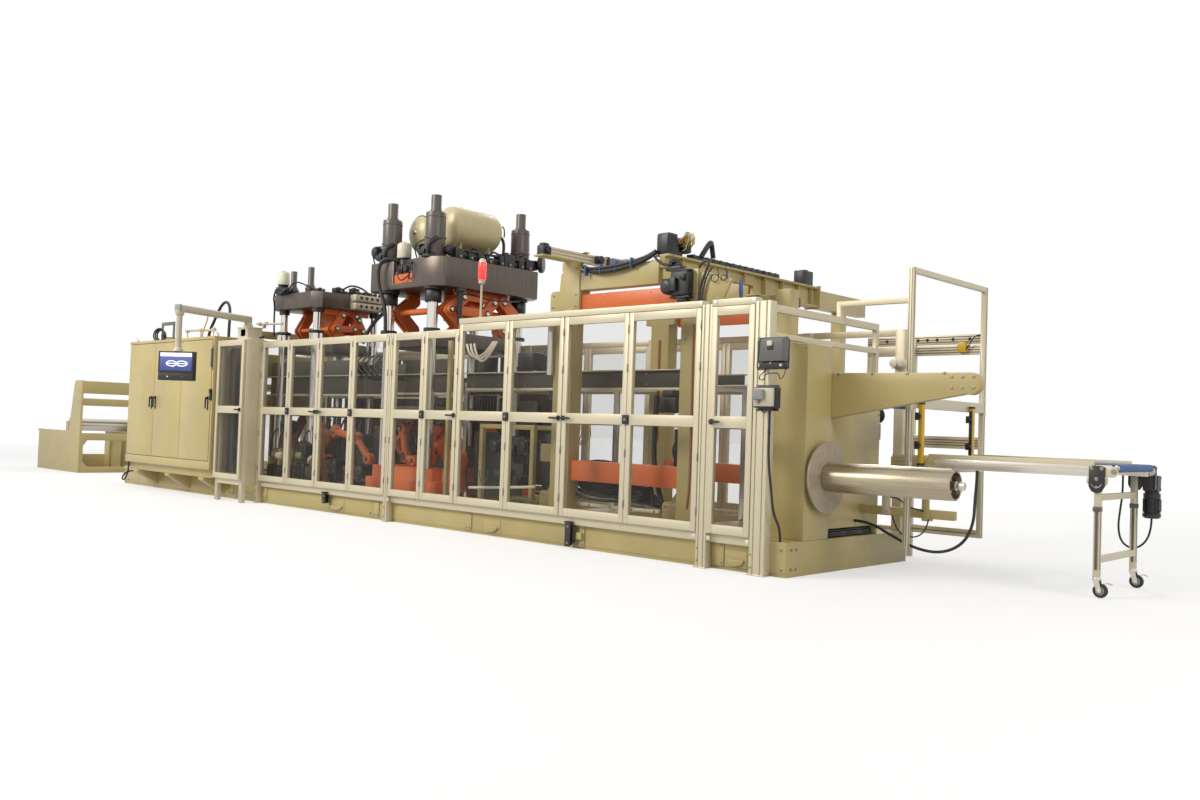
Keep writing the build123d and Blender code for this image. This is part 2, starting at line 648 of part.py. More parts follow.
# Drives of the stacking station: the terminal box and cable tray on the gantry, the gearmotor
# on the column and the linear drive that reaches out over the doors
with BuildPart() as stacker_drives:
    block((gantry_x - 70, gantry_x + 70), (-764, -600), (gantry_top, gantry_top + 195))
    block((gantry_x - 50, gantry_x + 60), (-600, -430), (gantry_top, gantry_top + 185))
    block((gantry_x - 60, gantry_x + 60), (1430, 1620), (gantry_top, gantry_top + 160))
    block((gantry_x, gantry_x + 70), (-430, 985), (gantry_top, gantry_top + 45))
    block((4780, 4975), (-890, -790), (2245, 2490))
    rod((4768, -930, 2345), (0, 1, 0), 66, 140)
    block((4860, 4930), (-870, -800), (2165, 2245))
    block((4700, 4870), (-850, -790), (2490, 2560))
    block((3385, 3475), (-1165, -290), (2706, 2792))
    block((3390, 3495), (-290, 60), (2700, 2800))
stacker_drives.part.label = "stacker_drives"
export_step(stacker_drives.part, "parts/stacker_drives.step")

# Winder housing: a column with a cut-back corner, and a lower box with a low service opening
with BuildPart() as winder_column:
    with BuildSketch(Plane.XY.offset(base_height)) as column_plan:
        with Locations((5890, -553)):
            Rectangle(420, 370)
    extrude(column_plan.sketch, amount=1830 - base_height)
    block((5740, 6080), (-368, -288), (base_height, 1249))
    block((5740, 6080), (-288, 477), (base_height, 1335))
    block((5780, 6080), (-330, 440), (base_height, 345), Mode.SUBTRACT)
winder_column.part.label = "winder_column"
export_step(winder_column.part, "parts/winder_column.step")

# Tapered arm that carries the outer end of a finished reel
with BuildPart() as winder_arm:
    with BuildSketch(Plane.XZ.offset(368)) as arm_side:
        with BuildLine():
            Polyline((5800, 1618), (7255, 1606))
            TangentArc((7255, 1606), (7225, 1446), tangent=(1, 0))
            Polyline((7225, 1446), (6100, 1249), (5800, 1249), (5800, 1618))
        make_face()
    extrude(arm_side.sketch, amount=-80)
winder_arm.part.label = "winder_arm"
export_step(winder_arm.part, "parts/winder_arm.step")

# Rewind mandrel: an expanding shaft with two leaves let into it and a hub at its free end
with BuildPart() as rewind_mandrel:
    rod((mandrel_start, winder_y, winder_z), (1, 0, 0), mandrel_radius, mandrel_end - mandrel_start)
    for z in (winder_z + 96, winder_z - 116):
        block((mandrel_start + 40, mandrel_end), (winder_y - 16, winder_y + 16), (z, z + 20), Mode.SUBTRACT)
    rod((mandrel_end, winder_y, winder_z), (1, 0, 0), 34, 68)
rewind_mandrel.part.label = "rewind_mandrel"
export_step(rewind_mandrel.part, "parts/rewind_mandrel.step")

with BuildPart() as mandrel_disc:
    rod((mandrel_start - 22, winder_y, winder_z), (1, 0, 0), 285, 22)
    rod((6100.3, winder_y, winder_z), (1, 0, 0), 90, mandrel_start - 22 - 6100.3)
mandrel_disc.part.label = "mandrel_disc"
export_step(mandrel_disc.part, "parts/mandrel_disc.step")

# Discharge guard: the end rails, the tall gate round the conveyor and the rails behind it
with BuildPart() as discharge_guard:
    gate = (gate_x - 22, gate_x + 23)
    for y in ((gate_left, gate_left + profile), (gate_right - profile, gate_right)):
        block(gate, y, (gate_bottom, gate_top))
    block(gate, (gate_left + profile, gate_right - profile), (gate_top - profile, gate_top))
    block(gate, (gate_left + profile, gate_right - profile), (1352, 1440))
    block(gate, (gate_left + profile, gate_right - profile), (825, 870))
    for z in ((1885, 1975), (1025, 1135), (230, 300)):
        block((5945, gate[0]), (gate_right - profile, gate_right), z)
    block((5900, 5945), (gate_right - profile, gate_right), (0, 2040))
    block((5900, 5945), (guard_rear, gate_right - profile), (1930, 1975))
    block((5900, 5945), (guard_rear, gate_right - profile), (230, 275))
    # Rails above the winder, from the corner post to a post on the base
    block((5913, 5958), (-half_width, 645), (2055, 2115))
    block((5913, 5958), (-half_width, 600), (1850, 1895))
    block((5913, 5958), (600, 645), (base_height, 2055))
    block((5913, gate[0]), (gate_left, gate_left + profile), (2200, 2245))
    block((5913, 5958), (gate_left, gate_left + profile), (2115, 2200))
discharge_guard.part.label = "discharge_guard"
export_step(discharge_guard.part, "parts/discharge_guard.step")

# Light curtains either side of the conveyor
with BuildPart() as light_curtains:
    for y in (112, 1062):
        block((gate_x + 23, gate_x + 63), (y, y + 45), (890, 1400))
light_curtains.part.label = "light_curtains"
export_step(light_curtains.part, "parts/light_curtains.step")

# Discharge conveyor frame: slotted side rails with cross bars
with BuildPart() as conveyor_frame:
    for y in (conveyor_front, conveyor_rear - 40):
        with BuildSketch(Plane.YZ.offset(conveyor_start)) as side_rail:
            with Locations((y + 20, conveyor_top - 40)):
                Rectangle(40, 80)
        extrude(side_rail.sketch, amount=conveyor_end - 40 - conveyor_start)
    for x in (6500, 7100, 7700):
        block((x - 20, x + 20), (conveyor_front + 40, conveyor_rear - 40), (conveyor_top - 78, conveyor_top - 46))
    # Slider plate and end rollers inside the belt
    for x in (conveyor_start + 28, conveyor_end - 28):
        rod((x, conveyor_front + 40, conveyor_top - 14), (0, 1, 0), 22.5, conveyor_rear - conveyor_front - 80)
    block((conveyor_start + 60, conveyor_end - 60), (conveyor_front + 40, conveyor_rear - 40),
          (conveyor_top - 32, conveyor_top + 8))
conveyor_frame.part.label = "conveyor_frame"
export_step(conveyor_frame.part, "parts/conveyor_frame.step")

# Belt: a flat loop round a roller at each end
with BuildPart() as conveyor_belt:
    with BuildSketch(Plane.XZ.offset(-conveyor_front - 46)) as belt_loop:
        with Locations(((conveyor_start + conveyor_end) / 2, conveyor_top - 14)):
            SlotCenterToCenter(conveyor_end - conveyor_start - 56, 56)
            SlotCenterToCenter(conveyor_end - conveyor_start - 56, 46, mode=Mode.SUBTRACT)
    extrude(belt_loop.sketch, amount=-(conveyor_rear - conveyor_front - 92))
conveyor_belt.part.label = "conveyor_belt"
export_step(conveyor_belt.part, "parts/conveyor_belt.step")

# Conveyor stand: two legs, two rungs and the slotted height plates
with BuildPart() as conveyor_stand:
    for y in (conveyor_front + 20, conveyor_rear - 20):
        block((leg_x - 22, leg_x + 22), (y - 22, y + 22), (150, conveyor_top - 80))
    for z in (250, 700):
        block((leg_x - 22, leg_x + 22), (conveyor_front + 42, conveyor_rear - 42), (z, z + 45))
    plate_y([(leg_x - 75, 868), (leg_x - 75, 830), (leg_x - 30, 770), (leg_x + 30, 770),
             (leg_x + 75, 830), (leg_x + 75, 868)], conveyor_front - 8, 6)
    block((leg_x - 30, leg_x + 30), (conveyor_front - 2, conveyor_front), (790, 868))
conveyor_stand.part.label = "conveyor_stand"
export_step(conveyor_stand.part, "parts/conveyor_stand.step")

# Casters: swivelling forks with a rubber wheel on each axle
for name, y in (("near", conveyor_front + 20), ("far", conveyor_rear - 20)):
    with BuildPart() as caster_fork:
        rod((leg_x, y, 136), (0, 0, 1), 26, 13.7)
        block((leg_x - 28, leg_x + 28), (y - 27, y + 27), (126, 136))
        for side in (-1, 1):
            plate_y([(leg_x - 26, 136), (leg_x + 20, 136), (leg_x + caster_trail + 14, 60),
                     (leg_x + caster_trail + 14, 38), (leg_x + caster_trail - 14, 38)],
                    y + side * 24.5 - 2.5, 5)
        rod((leg_x + caster_trail, y - 27, caster_radius), (0, 1, 0), 6, 54)
    caster_fork.part.label = f"{name}_caster_fork"
    export_step(caster_fork.part, f"parts/{name}_caster_fork.step")
    with BuildPart() as caster_wheel:
        rod((leg_x + caster_trail, y - 16, caster_radius), (0, 1, 0), caster_radius, 32)
        rod((leg_x + caster_trail, y - 16, caster_radius), (0, 1, 0), 6.06, 32, Mode.SUBTRACT)
    caster_wheel.part.label = f"{name}_caster_wheel"
    export_step(caster_wheel.part, f"parts/{name}_caster_wheel.step")

# Conveyor drive: a gearbox and motor hung under the far end of the belt
with BuildPart() as conveyor_drive:
    block((8035, 8115), (1045, 1110), (760, 960))
    turned((8075, 1160, 540), [(62, 0), (66, 20), (66, 200), (58, 215)])
    block((8020, 8130), (1110, 1215), (750, 880))
conveyor_drive.part.label = "conveyor_drive"
export_step(conveyor_drive.part, "parts/conveyor_drive.step")

# Unwind stand: side plates, an end frame with a cut-cornered opening and the tower above it
with BuildPart() as unwind_stand:
    for y in (-unwind_half, unwind_half - 12):
        block((unwind_left, unwind_right - 12), (y, y + 12), (0, unwind_height))
    plate_x([(-unwind_half, 0), (unwind_half, 0), (unwind_half, unwind_height), (-unwind_half, unwind_height)],
            unwind_right - 12, 12)
    plate_x([(-470, 110), (470, 110), (550, 200), (550, 480), (480, 580), (-480, 580), (-550, 480), (-550, 200)],
            unwind_right - 12, 12, Mode.SUBTRACT)
    block((unwind_left, unwind_left + 12), (-unwind_half + 12, unwind_half - 12), (0, 260))
    for y in (-unwind_half, unwind_half - 40):
        plate_y([(-9470, unwind_height), (unwind_right, unwind_height), (unwind_right, tower_top),
                 (-9240, tower_top), (-9290, 1560)], y, 40)
    block((-9180, unwind_right), (-unwind_half + 40, unwind_half - 40), (1420, tower_top - 10))
    block((-9150, unwind_right - 20), (-unwind_half + 40, unwind_half - 40), (1200, 1330))
    # Loading rails along the top of the sides, with the bearing blocks of the roll
    for y in (-unwind_half, unwind_half - 60):
        block((unwind_left - 80, -9440), (y, y + 60), (unwind_height, unwind_height + 30))
    for y in (-unwind_half + 5, unwind_half - 55):
        block((roll_x - 60, roll_x + 60), (y, y + 50), (unwind_height + 30, roll_z + 60))
unwind_stand.part.label = "unwind_stand"
export_step(unwind_stand.part, "parts/unwind_stand.step")

# Unwind roll: a shaft between end discs, ready for a reel of sheet
with BuildPart() as unwind_roll:
    rod((roll_x, -540, roll_z), (0, 1, 0), roll_radius - 18, 1080)
    rod((roll_x, -unwind_half + 55.3, roll_z), (0, 1, 0), 32, 2 * unwind_half - 110.6)
    rod((roll_x, -554, roll_z), (0, 1, 0), roll_radius + 8, 14)
    rod((roll_x, 540, roll_z), (0, 1, 0), roll_radius + 8, 14)
unwind_roll.part.label = "unwind_roll"
export_step(unwind_roll.part, "parts/unwind_roll.step")

# Signal lamp on a tube that stands on the head beam
with BuildPart() as signal_lamp:
    turned((2434, -1020, 2175), [(22, 0), (22, 12), (11, 12), (11, 340), (34, 345), (34, 380),
                                 (40, 385), (40, 560), (34, 600)])
signal_lamp.part.label = "signal_lamp"
export_step(signal_lamp.part, "parts/signal_lamp.step")

# Operator boxes on black plates at the corner post
with BuildPart() as control_boxes:
    block((5850, 6130), (guard_front - 8, guard_front), (1600, 1850))
    block((5890, 6150), (guard_front - 110, guard_front - 8), (1640, 1825))
    block((5850, 6060), (guard_front - 8, guard_front), (1280, 1480))
    block((5875, 6080), (guard_front - 105, guard_front - 8), (1300, 1460))
    rod((6012, guard_front - 53, 1270), (0, 0, 1), 17, 30)
control_boxes.part.label = "control_boxes"
export_step(control_boxes.part, "parts/control_boxes.step")


def cord(name, points, diameter):
    """Make a hanging cable along a route of straight runs and tangent arcs, and save it."""
    radii = []
    for a, b, c in zip(points, points[1:], points[2:]):
        first, second = Vector(*b) - Vector(*a), Vector(*c) - Vector(*b)
        turn = first.get_angle(second)
        short = min(first.length, second.length)
        radii.append(0.45 * short / tan(radians(turn / 2)))
    print(name, "radii", [round(radius) for radius in radii], "diameter", diameter)
    with BuildPart() as tube:
        with BuildLine() as route:
            FilletPolyline(*points, radius=radii)
        with BuildSketch(Plane(points[0], z_dir=Vector(*points[1]) - Vector(*points[0]))):
            Circle(diameter / 2)
        sweep()
    length = sum(edge.length for edge in route.edges())
    print(name, "volume ratio", round(tube.part.volume / (pi * diameter ** 2 / 4 * length), 4))
    tube.part.label = name
    export_step(tube.part, f"parts/{name}.step")


# Hose loop above the cabinet
cord("cabinet_hose", [(-3300, -775, 2150), (-3300, -775, 2310), (-3306, -765, 2510), (-3335, -757, 2640),
                      (-3430, -755, 2715), (-3550, -757, 2690), (-3650, -765, 2590), (-3755, -775, 2440),
                      (-3875, -787, 2280), (-3875, -787, 2150)], 40)
# Cable below the left end of the cabinet, back to the base
cord("lower_cable", [(-5230, -1275, 380), (-5230, -1275, 300), (-5262, -1274, 205), (-5340, -1270, 120),
                     (-5450, -1262, 85), (-5545, -1235, 125), (-5580, -1175, 195), (-5560, -1085, 220),
                     (-5550, -1040, 215), (-5550, -half_width, 215)], 24)
# Cable from the lower operator box to the base
cord("box_cable", [(6012, -1118, 1270), (6012, -1118, 1100), (6006, -1108, 890), (6028, -1092, 680),
                   (6020, -1045, 490), (6030, -952, 370), (6030, -952, 270)], 20)
# Cable from the base to the discharge conveyor
cord("base_cable", [(6080, 80, 400), (6220, 80, 400), (6420, 70, 310), (6640, 62, 222), (6860, 60, 205),
                    (7030, 80, 290), (7090, 130, 450), (7075, 180, 640), (7080, 195, 780), (7080, 195, 870)], 24)
# Cable of the conveyor motor
cord("motor_cable", [(8075, 1160, 540), (8075, 1160, 455), (8035, 1150, 340), (7950, 1132, 285), (7870, 1112, 335),
                     (7848, 1095, 450), (7868, 1075, 590), (7892, 1045, 710), (7900, 1025, 800),
                     (7900, 1025, 870)], 16)
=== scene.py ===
# %% [markdown]
# # A thermoforming line, dressed for its portrait
# The machine heats a wide plastic sheet, presses it into trays, stacks the trays and winds up the waste.
# Its solid frame comes ready made from CAD. This lesson gives that frame its paint, metal and glass,
# and models the smaller things that make it look real: hoses, bolts, bearings, panels and plates.

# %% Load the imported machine
import json
import math
import random
import bpy
from mathutils import Matrix, Vector


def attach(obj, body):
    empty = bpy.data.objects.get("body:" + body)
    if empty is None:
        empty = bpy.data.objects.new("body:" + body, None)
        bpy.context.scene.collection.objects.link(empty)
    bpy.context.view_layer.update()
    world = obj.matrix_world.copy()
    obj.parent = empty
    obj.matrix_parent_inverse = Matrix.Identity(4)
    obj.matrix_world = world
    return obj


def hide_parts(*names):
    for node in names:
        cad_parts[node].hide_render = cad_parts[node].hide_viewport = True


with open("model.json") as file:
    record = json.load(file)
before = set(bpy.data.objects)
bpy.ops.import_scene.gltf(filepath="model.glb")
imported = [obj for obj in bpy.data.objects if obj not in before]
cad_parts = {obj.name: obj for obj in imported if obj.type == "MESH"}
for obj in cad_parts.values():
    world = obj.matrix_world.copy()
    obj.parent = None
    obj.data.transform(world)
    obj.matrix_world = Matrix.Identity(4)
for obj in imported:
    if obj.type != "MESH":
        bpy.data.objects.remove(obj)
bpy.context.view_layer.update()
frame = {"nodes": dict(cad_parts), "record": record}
nodes = frame["nodes"]
print("nodes in the frame:", len(nodes))

# %% [markdown]
# ## The camera
# The photograph was taken from the discharge end, a little above waist height, with a short lens.
# The place and the three axes come from the vanishing points of the long rails, so that a render
# can be laid over the photograph.

# %% Place the camera
camera_place = Vector((10.5783, -7.8416, 1.1))
camera_right = Vector((0.726913, 0.685898, 0.033778))
camera_up = Vector((-0.005894, -0.042953, 0.99906))
camera_back = Vector((0.686704, -0.726429, -0.027181))
camera_data = bpy.data.cameras.new("camera")
camera_data.sensor_width = 36.0
camera_data.lens = 31.458
camera = bpy.data.objects.new("camera", camera_data)
bpy.context.scene.collection.objects.link(camera)
turn = Matrix((camera_right, camera_up, camera_back)).transposed().to_4x4()
camera.matrix_world = Matrix.Translation(camera_place) @ turn
bpy.context.scene.camera = camera
print("camera at", tuple(camera_place))

# %% [markdown]
# ## Hanging cables
# A free cable keeps its length and hangs in smooth curves. Each one follows the route that its CAD tube
# takes, as the control points of one NURBS spline, which rounds every corner by itself.

# %% Draw the hanging cables
cable_routes = {
    "cabinet_hose": (
        [(-3.3, -0.775, 2.15), (-3.3, -0.775, 2.31), (-3.306, -0.765, 2.51), (-3.335, -0.757, 2.64),
         (-3.43, -0.755, 2.715), (-3.55, -0.757, 2.69), (-3.65, -0.765, 2.59), (-3.755, -0.775, 2.44),
         (-3.875, -0.787, 2.28), (-3.875, -0.787, 2.15)], 0.04),
    "lower_cable": (
        [(-5.23, -1.275, 0.38), (-5.23, -1.275, 0.3), (-5.262, -1.274, 0.205), (-5.34, -1.27, 0.12),
         (-5.45, -1.262, 0.085), (-5.545, -1.235, 0.125), (-5.58, -1.175, 0.195), (-5.56, -1.085, 0.22),
         (-5.55, -1.04, 0.215), (-5.55, -0.975, 0.215)], 0.024),
    "box_cable": (
        [(6.012, -1.118, 1.27), (6.012, -1.118, 1.1), (6.006, -1.108, 0.89), (6.028, -1.092, 0.68),
         (6.02, -1.045, 0.49), (6.03, -0.952, 0.37), (6.03, -0.952, 0.27)], 0.02),
    "base_cable": (
        [(6.08, 0.08, 0.4), (6.22, 0.08, 0.4), (6.42, 0.07, 0.31), (6.64, 0.062, 0.222),
         (6.86, 0.06, 0.205), (7.03, 0.08, 0.29), (7.09, 0.13, 0.45), (7.075, 0.18, 0.64),
         (7.08, 0.195, 0.78), (7.08, 0.195, 0.87)], 0.024),
    "motor_cable": (
        [(8.075, 1.16, 0.54), (8.075, 1.16, 0.455), (8.035, 1.15, 0.34), (7.95, 1.132, 0.285),
         (7.87, 1.112, 0.335), (7.848, 1.095, 0.45), (7.868, 1.075, 0.59), (7.892, 1.045, 0.71),
         (7.9, 1.025, 0.8), (7.9, 1.025, 0.87)], 0.016),}


def nurbs_curve(name, points):
    """Make a smooth open curve that has the points as its control points."""
    curve = bpy.data.curves.new(name, "CURVE")
    curve.dimensions = "3D"
    curve.resolution_u = 10
    spline = curve.splines.new("NURBS")
    spline.points.add(len(points) - 1)
    for point, place in zip(spline.points, points):
        point.co = (*place, 1.0)
    spline.order_u = 3
    spline.use_endpoint_u = True
    curve_object = bpy.data.objects.new(name, curve)
    bpy.context.scene.collection.objects.link(curve_object)
    return curve_object


def curve_length(curve_object):
    """Measure a curve along its own line."""
    line = bpy.data.meshes.new_from_object(curve_object)
    length = sum(
        (line.vertices[a].co - line.vertices[b].co).length
        for a, b in (edge.vertices for edge in line.edges))
    bpy.data.meshes.remove(line)
    return length


cables, cable_lengths = {}, {}
for name, (route, diameter) in cable_routes.items():
    cable = nurbs_curve(name + "_drawn", route)
    cable_lengths[name] = round(curve_length(cable), 3)
    print(name, "length", cable_lengths[name])
    cable.data.bevel_depth = diameter / 2
    cable.data.bevel_resolution = 4
    cables[name] = cable

# %% [markdown]
# ## Maths on sockets
# Shader nodes are easier to read as sums. A small class wraps one socket and adds a Math node for each
# sign, so a worn edge can be written as one expression.

# %% Wrap sockets so that they can be added and multiplied
class Sock:
    """One output of a shader node, with arithmetic."""

    def __init__(self, recipe, socket):
        self.recipe, self.socket = recipe, socket

    def maths(self, operation, first, second):
        return self.recipe.node("ShaderNodeMath", {"operation": operation}, {0: first, 1: second})

    def __add__(self, other):
        return self.maths("ADD", self, other)

    def __rsub__(self, other):
        return self.maths("SUBTRACT", other, self)

    def __mul__(self, other):
        return self.maths("MULTIPLY", self, other)

    __radd__ = __add__

    def between(self, low, high):
        """Zero below low, one above high, smooth in between."""
        settings = {"interpolation_type": "SMOOTHSTEP"}
        return self.recipe.node(
            "ShaderNodeMapRange", settings, {"Value": self, "From Min": low, "From Max": high})


class Recipe:
    """A material under construction, with its Principled shader ready to fill in."""

    def __init__(self, name, **plain):
        self.material = bpy.data.materials.new(name)
        self.material.use_nodes = True
        self.tree = self.material.node_tree
        self.shader = self.tree.nodes["Principled BSDF"]
        for socket, value in plain.items():
            self.shader.inputs[socket.replace("_", " ")].default_value = value

    def node(self, kind, settings, values, output=0):
        made = self.tree.nodes.new(kind)
        for key, value in settings.items():
            setattr(made, key, value)
        for key, value in values.items():
            if isinstance(value, Sock):
                self.tree.links.new(value.socket, made.inputs[key])
            else:
                made.inputs[key].default_value = value
        return Sock(self, made.outputs[output])

    def place(self):
        return self.node("ShaderNodeTexCoord", {}, {}, 3)

    def stretched(self, x, y, z):
        return self.node("ShaderNodeMapping", {}, {"Vector": self.place(), "Scale": (x, y, z)})

    def noise(self, scale, detail=3.0, vector=None):
        values = {"Vector": vector or self.place(), "Scale": scale, "Detail": detail}
        return self.node("ShaderNodeTexNoise", {}, values)

    def height(self):
        return self.node("ShaderNodeSeparateXYZ", {}, {"Vector": self.place()}, 2)

    def mix(self, factor, first, second):
        """Blend two colours."""
        made = self.tree.nodes.new("ShaderNodeMix")
        made.data_type = "RGBA"
        for index, value in ((0, factor), (6, first), (7, second)):
            if isinstance(value, Sock):
                self.tree.links.new(value.socket, made.inputs[index])
            else:
                made.inputs[index].default_value = value if index == 0 else (*value, 1.0)
        return Sock(self, made.outputs[2])

    def feed(self, **links):
        for socket, value in links.items():
            self.tree.links.new(value.socket, self.shader.inputs[socket.replace("_", " ")])

    def bump(self, height, distance, strength=1.0):
        values = {"Height": height, "Distance": distance, "Strength": strength}
        self.feed(Normal=self.node("ShaderNodeBump", {}, values))


print("shader helpers ready")

# %% [markdown]
# ## Paints
# Machine enamel is sprayed: almost even in colour, with a fine orange peel in its gloss and a little
# dust low down. The same recipe serves every painted piece, with its own colour and sheen.

# %% Mix the paints
def enamel(name, colour, roughness=0.38, dust=0.25, peel=0.00025):
    """A sprayed enamel with slow shifts of tone, orange peel and dust towards the floor."""
    paint = Recipe(name, Roughness=roughness)
    tone = paint.noise(1.3, 4.0)
    speck = paint.noise(46.0, 2.0)
    low = 1 - paint.height().between(0.0, 0.75)
    darker = tuple(channel * 0.86 for channel in colour)
    dusty = tuple(0.8 * channel + 0.022 for channel in colour)
    shade = paint.mix(tone.between(0.35, 0.7), darker, colour)
    grime = low * dust * speck.between(0.3, 0.75)
    paint.feed(
        Base_Color=paint.mix(grime, shade, dusty), Roughness=roughness - 0.06 + tone * 0.14 + grime * 0.3)
    paint.bump(paint.noise(210.0, 2.0), peel)
    return paint.material


cream_enamel = enamel("cream_enamel", (0.58, 0.472, 0.205))
pale_cream_enamel = enamel("pale_cream_enamel", (0.77, 0.66, 0.38), 0.3, 0.0)
arm_enamel = enamel("arm_enamel", (0.7, 0.64, 0.49), 0.34, 0.0)
orange_enamel = enamel("orange_enamel", (0.86, 0.19, 0.042), 0.36, 0.3)
copper_brown = enamel("copper_brown", (0.42, 0.17, 0.06), 0.4, 0.0)
olive_plate = enamel("olive_plate", (0.085, 0.078, 0.055), 0.45, 0.2)
pale_cover = enamel("pale_cover", (0.26, 0.245, 0.205), 0.45, 0.0)
grey_enamel = enamel("grey_enamel", (0.16, 0.16, 0.155), 0.42, 0.0)
black_enamel = enamel("black_enamel", (0.018, 0.018, 0.019), 0.42, 0.1)
yellow_enamel = enamel("yellow_enamel", (0.74, 0.47, 0.03), 0.35, 0.0)
print("paints mixed")

# %% [markdown]
# ## Metals and plastics
# The guard is drawn aluminium, so its grain runs along each bar. The press plates are ground steel under
# a film of oil, and the columns are hard chrome.

# %% Mix the metals
def drawn_metal(name, colour, roughness, grain, metallic=1.0, contrast=0.12):
    """A metal with fine grain, stretched by the three grain scales."""
    metal = Recipe(name, Metallic=metallic, Roughness=roughness)
    streak = metal.noise(1.0, 5.0, metal.stretched(*grain))
    cloud = metal.noise(2.2, 3.0)
    dark = tuple(channel * (1 - 2.2 * contrast) for channel in colour)
    metal.feed(
        Base_Color=metal.mix(streak.between(0.25, 0.75), dark, colour),
        Roughness=roughness - contrast / 2 + streak * contrast + cloud * contrast)
    metal.bump(streak, 0.00015)
    return metal.material


guard_aluminium = drawn_metal("guard_aluminium", (0.71, 0.64, 0.465), 0.44, (60, 60, 260), 0.35, 0.06)
plate_steel = drawn_metal("plate_steel", (0.155, 0.13, 0.108), 0.3, (220, 220, 3), 0.8, 0.16)
chrome = drawn_metal("chrome", (0.78, 0.75, 0.7), 0.14, (90, 90, 6), 1.0, 0.05)
bright_steel = drawn_metal("bright_steel", (0.7, 0.655, 0.57), 0.26, (3, 160, 160), 1.0, 0.1)
bolt_steel = drawn_metal("bolt_steel", (0.32, 0.3, 0.27), 0.4, (80, 80, 80), 1.0, 0.12)
disc_steel = drawn_metal("disc_steel", (0.44, 0.37, 0.27), 0.42, (20, 20, 20), 0.55, 0.08)
mandrel_steel = drawn_metal("mandrel_steel", (0.46, 0.395, 0.285), 0.24, (3, 200, 200), 1.0, 0.12)
cylinder_grey = enamel("cylinder_grey", (0.135, 0.115, 0.095), 0.34, 0.0)


def moulded(name, colour, roughness=0.5, grain=320.0, depth=0.0002):
    """A moulded plastic or rubber with a fine matt grain."""
    plastic = Recipe(name, Roughness=roughness)
    speck = plastic.noise(grain, 2.0)
    cloud = plastic.noise(3.0, 3.0)
    worn = tuple(min(1.0, channel * 1.35 + 0.004) for channel in colour)
    plastic.feed(
        Base_Color=plastic.mix(cloud.between(0.4, 0.75), colour, worn), Roughness=roughness + cloud * 0.12)
    plastic.bump(speck, depth)
    return plastic.material


black_plastic = moulded("black_plastic", (0.016, 0.016, 0.017))
cable_black = moulded("cable_black", (0.014, 0.014, 0.014), 0.42)
tyre_rubber = moulded("tyre_rubber", (0.035, 0.035, 0.036), 0.7)
grey_plastic = moulded("grey_plastic", (0.3, 0.3, 0.295), 0.45)
white_plastic = moulded("white_plastic", (0.8, 0.74, 0.6), 0.4)
blue_plastic = moulded("blue_plastic", (0.05, 0.12, 0.33), 0.45)
belt_rubber = moulded("belt_rubber", (0.045, 0.105, 0.24), 0.55, 500.0, 0.0003)

pane = Recipe("clear_pane_look", Roughness=0.03, Alpha=0.1)
haze = pane.noise(1.1, 3.0)
pane.feed(Alpha=0.07 + haze * 0.09,
          Base_Color=pane.mix(haze.between(0.3, 0.7), (0.035, 0.032, 0.026), (0.1, 0.095, 0.08)))
clear_pane = pane.material

glow = Recipe("lamp_red_look", Roughness=0.2, Emission_Strength=3.2)
ring = glow.height()
glow.feed(Base_Color=glow.mix(ring.between(2.55, 2.62), (0.45, 0.01, 0.01), (0.9, 0.03, 0.02)),
          Emission_Color=glow.mix(ring.between(2.5, 2.6), (0.0, 0.0, 0.0), (1.0, 0.02, 0.02)))
lamp_red = glow.material
print("metals and plastics mixed")

# %% Pair each look with its slot
CREAM = (cream_enamel, "cream_paint")
PALE_CREAM = (pale_cream_enamel, "cream_gloss")
ARM_CREAM = (arm_enamel, "cream_gloss")
ORANGE = (orange_enamel, "orange_paint")
COPPER = (copper_brown, "orange_paint")
OLIVE = (olive_plate, "dark_plate")
COVER = (pale_cover, "grey_box")
GREY = (grey_enamel, "grey_box")
BLACK = (black_enamel, "black_metal")
YELLOW = (yellow_enamel, "yellow")
ALUMINIUM = (guard_aluminium, "guard_profile")
CHROME = (chrome, "steel")
BRIGHT = (bright_steel, "steel")
BOLT = (bolt_steel, "steel")
DARK = (cylinder_grey, "dark_plate")
PLASTIC = (black_plastic, "black_plastic")
RUBBER = (cable_black, "black_plastic")
GREY_PLASTIC = (grey_plastic, "grey_box")
WHITE_PLASTIC = (white_plastic, "cream_gloss")
BLUE_PLASTIC = (blue_plastic, "blue_belt")
print("finishes paired")

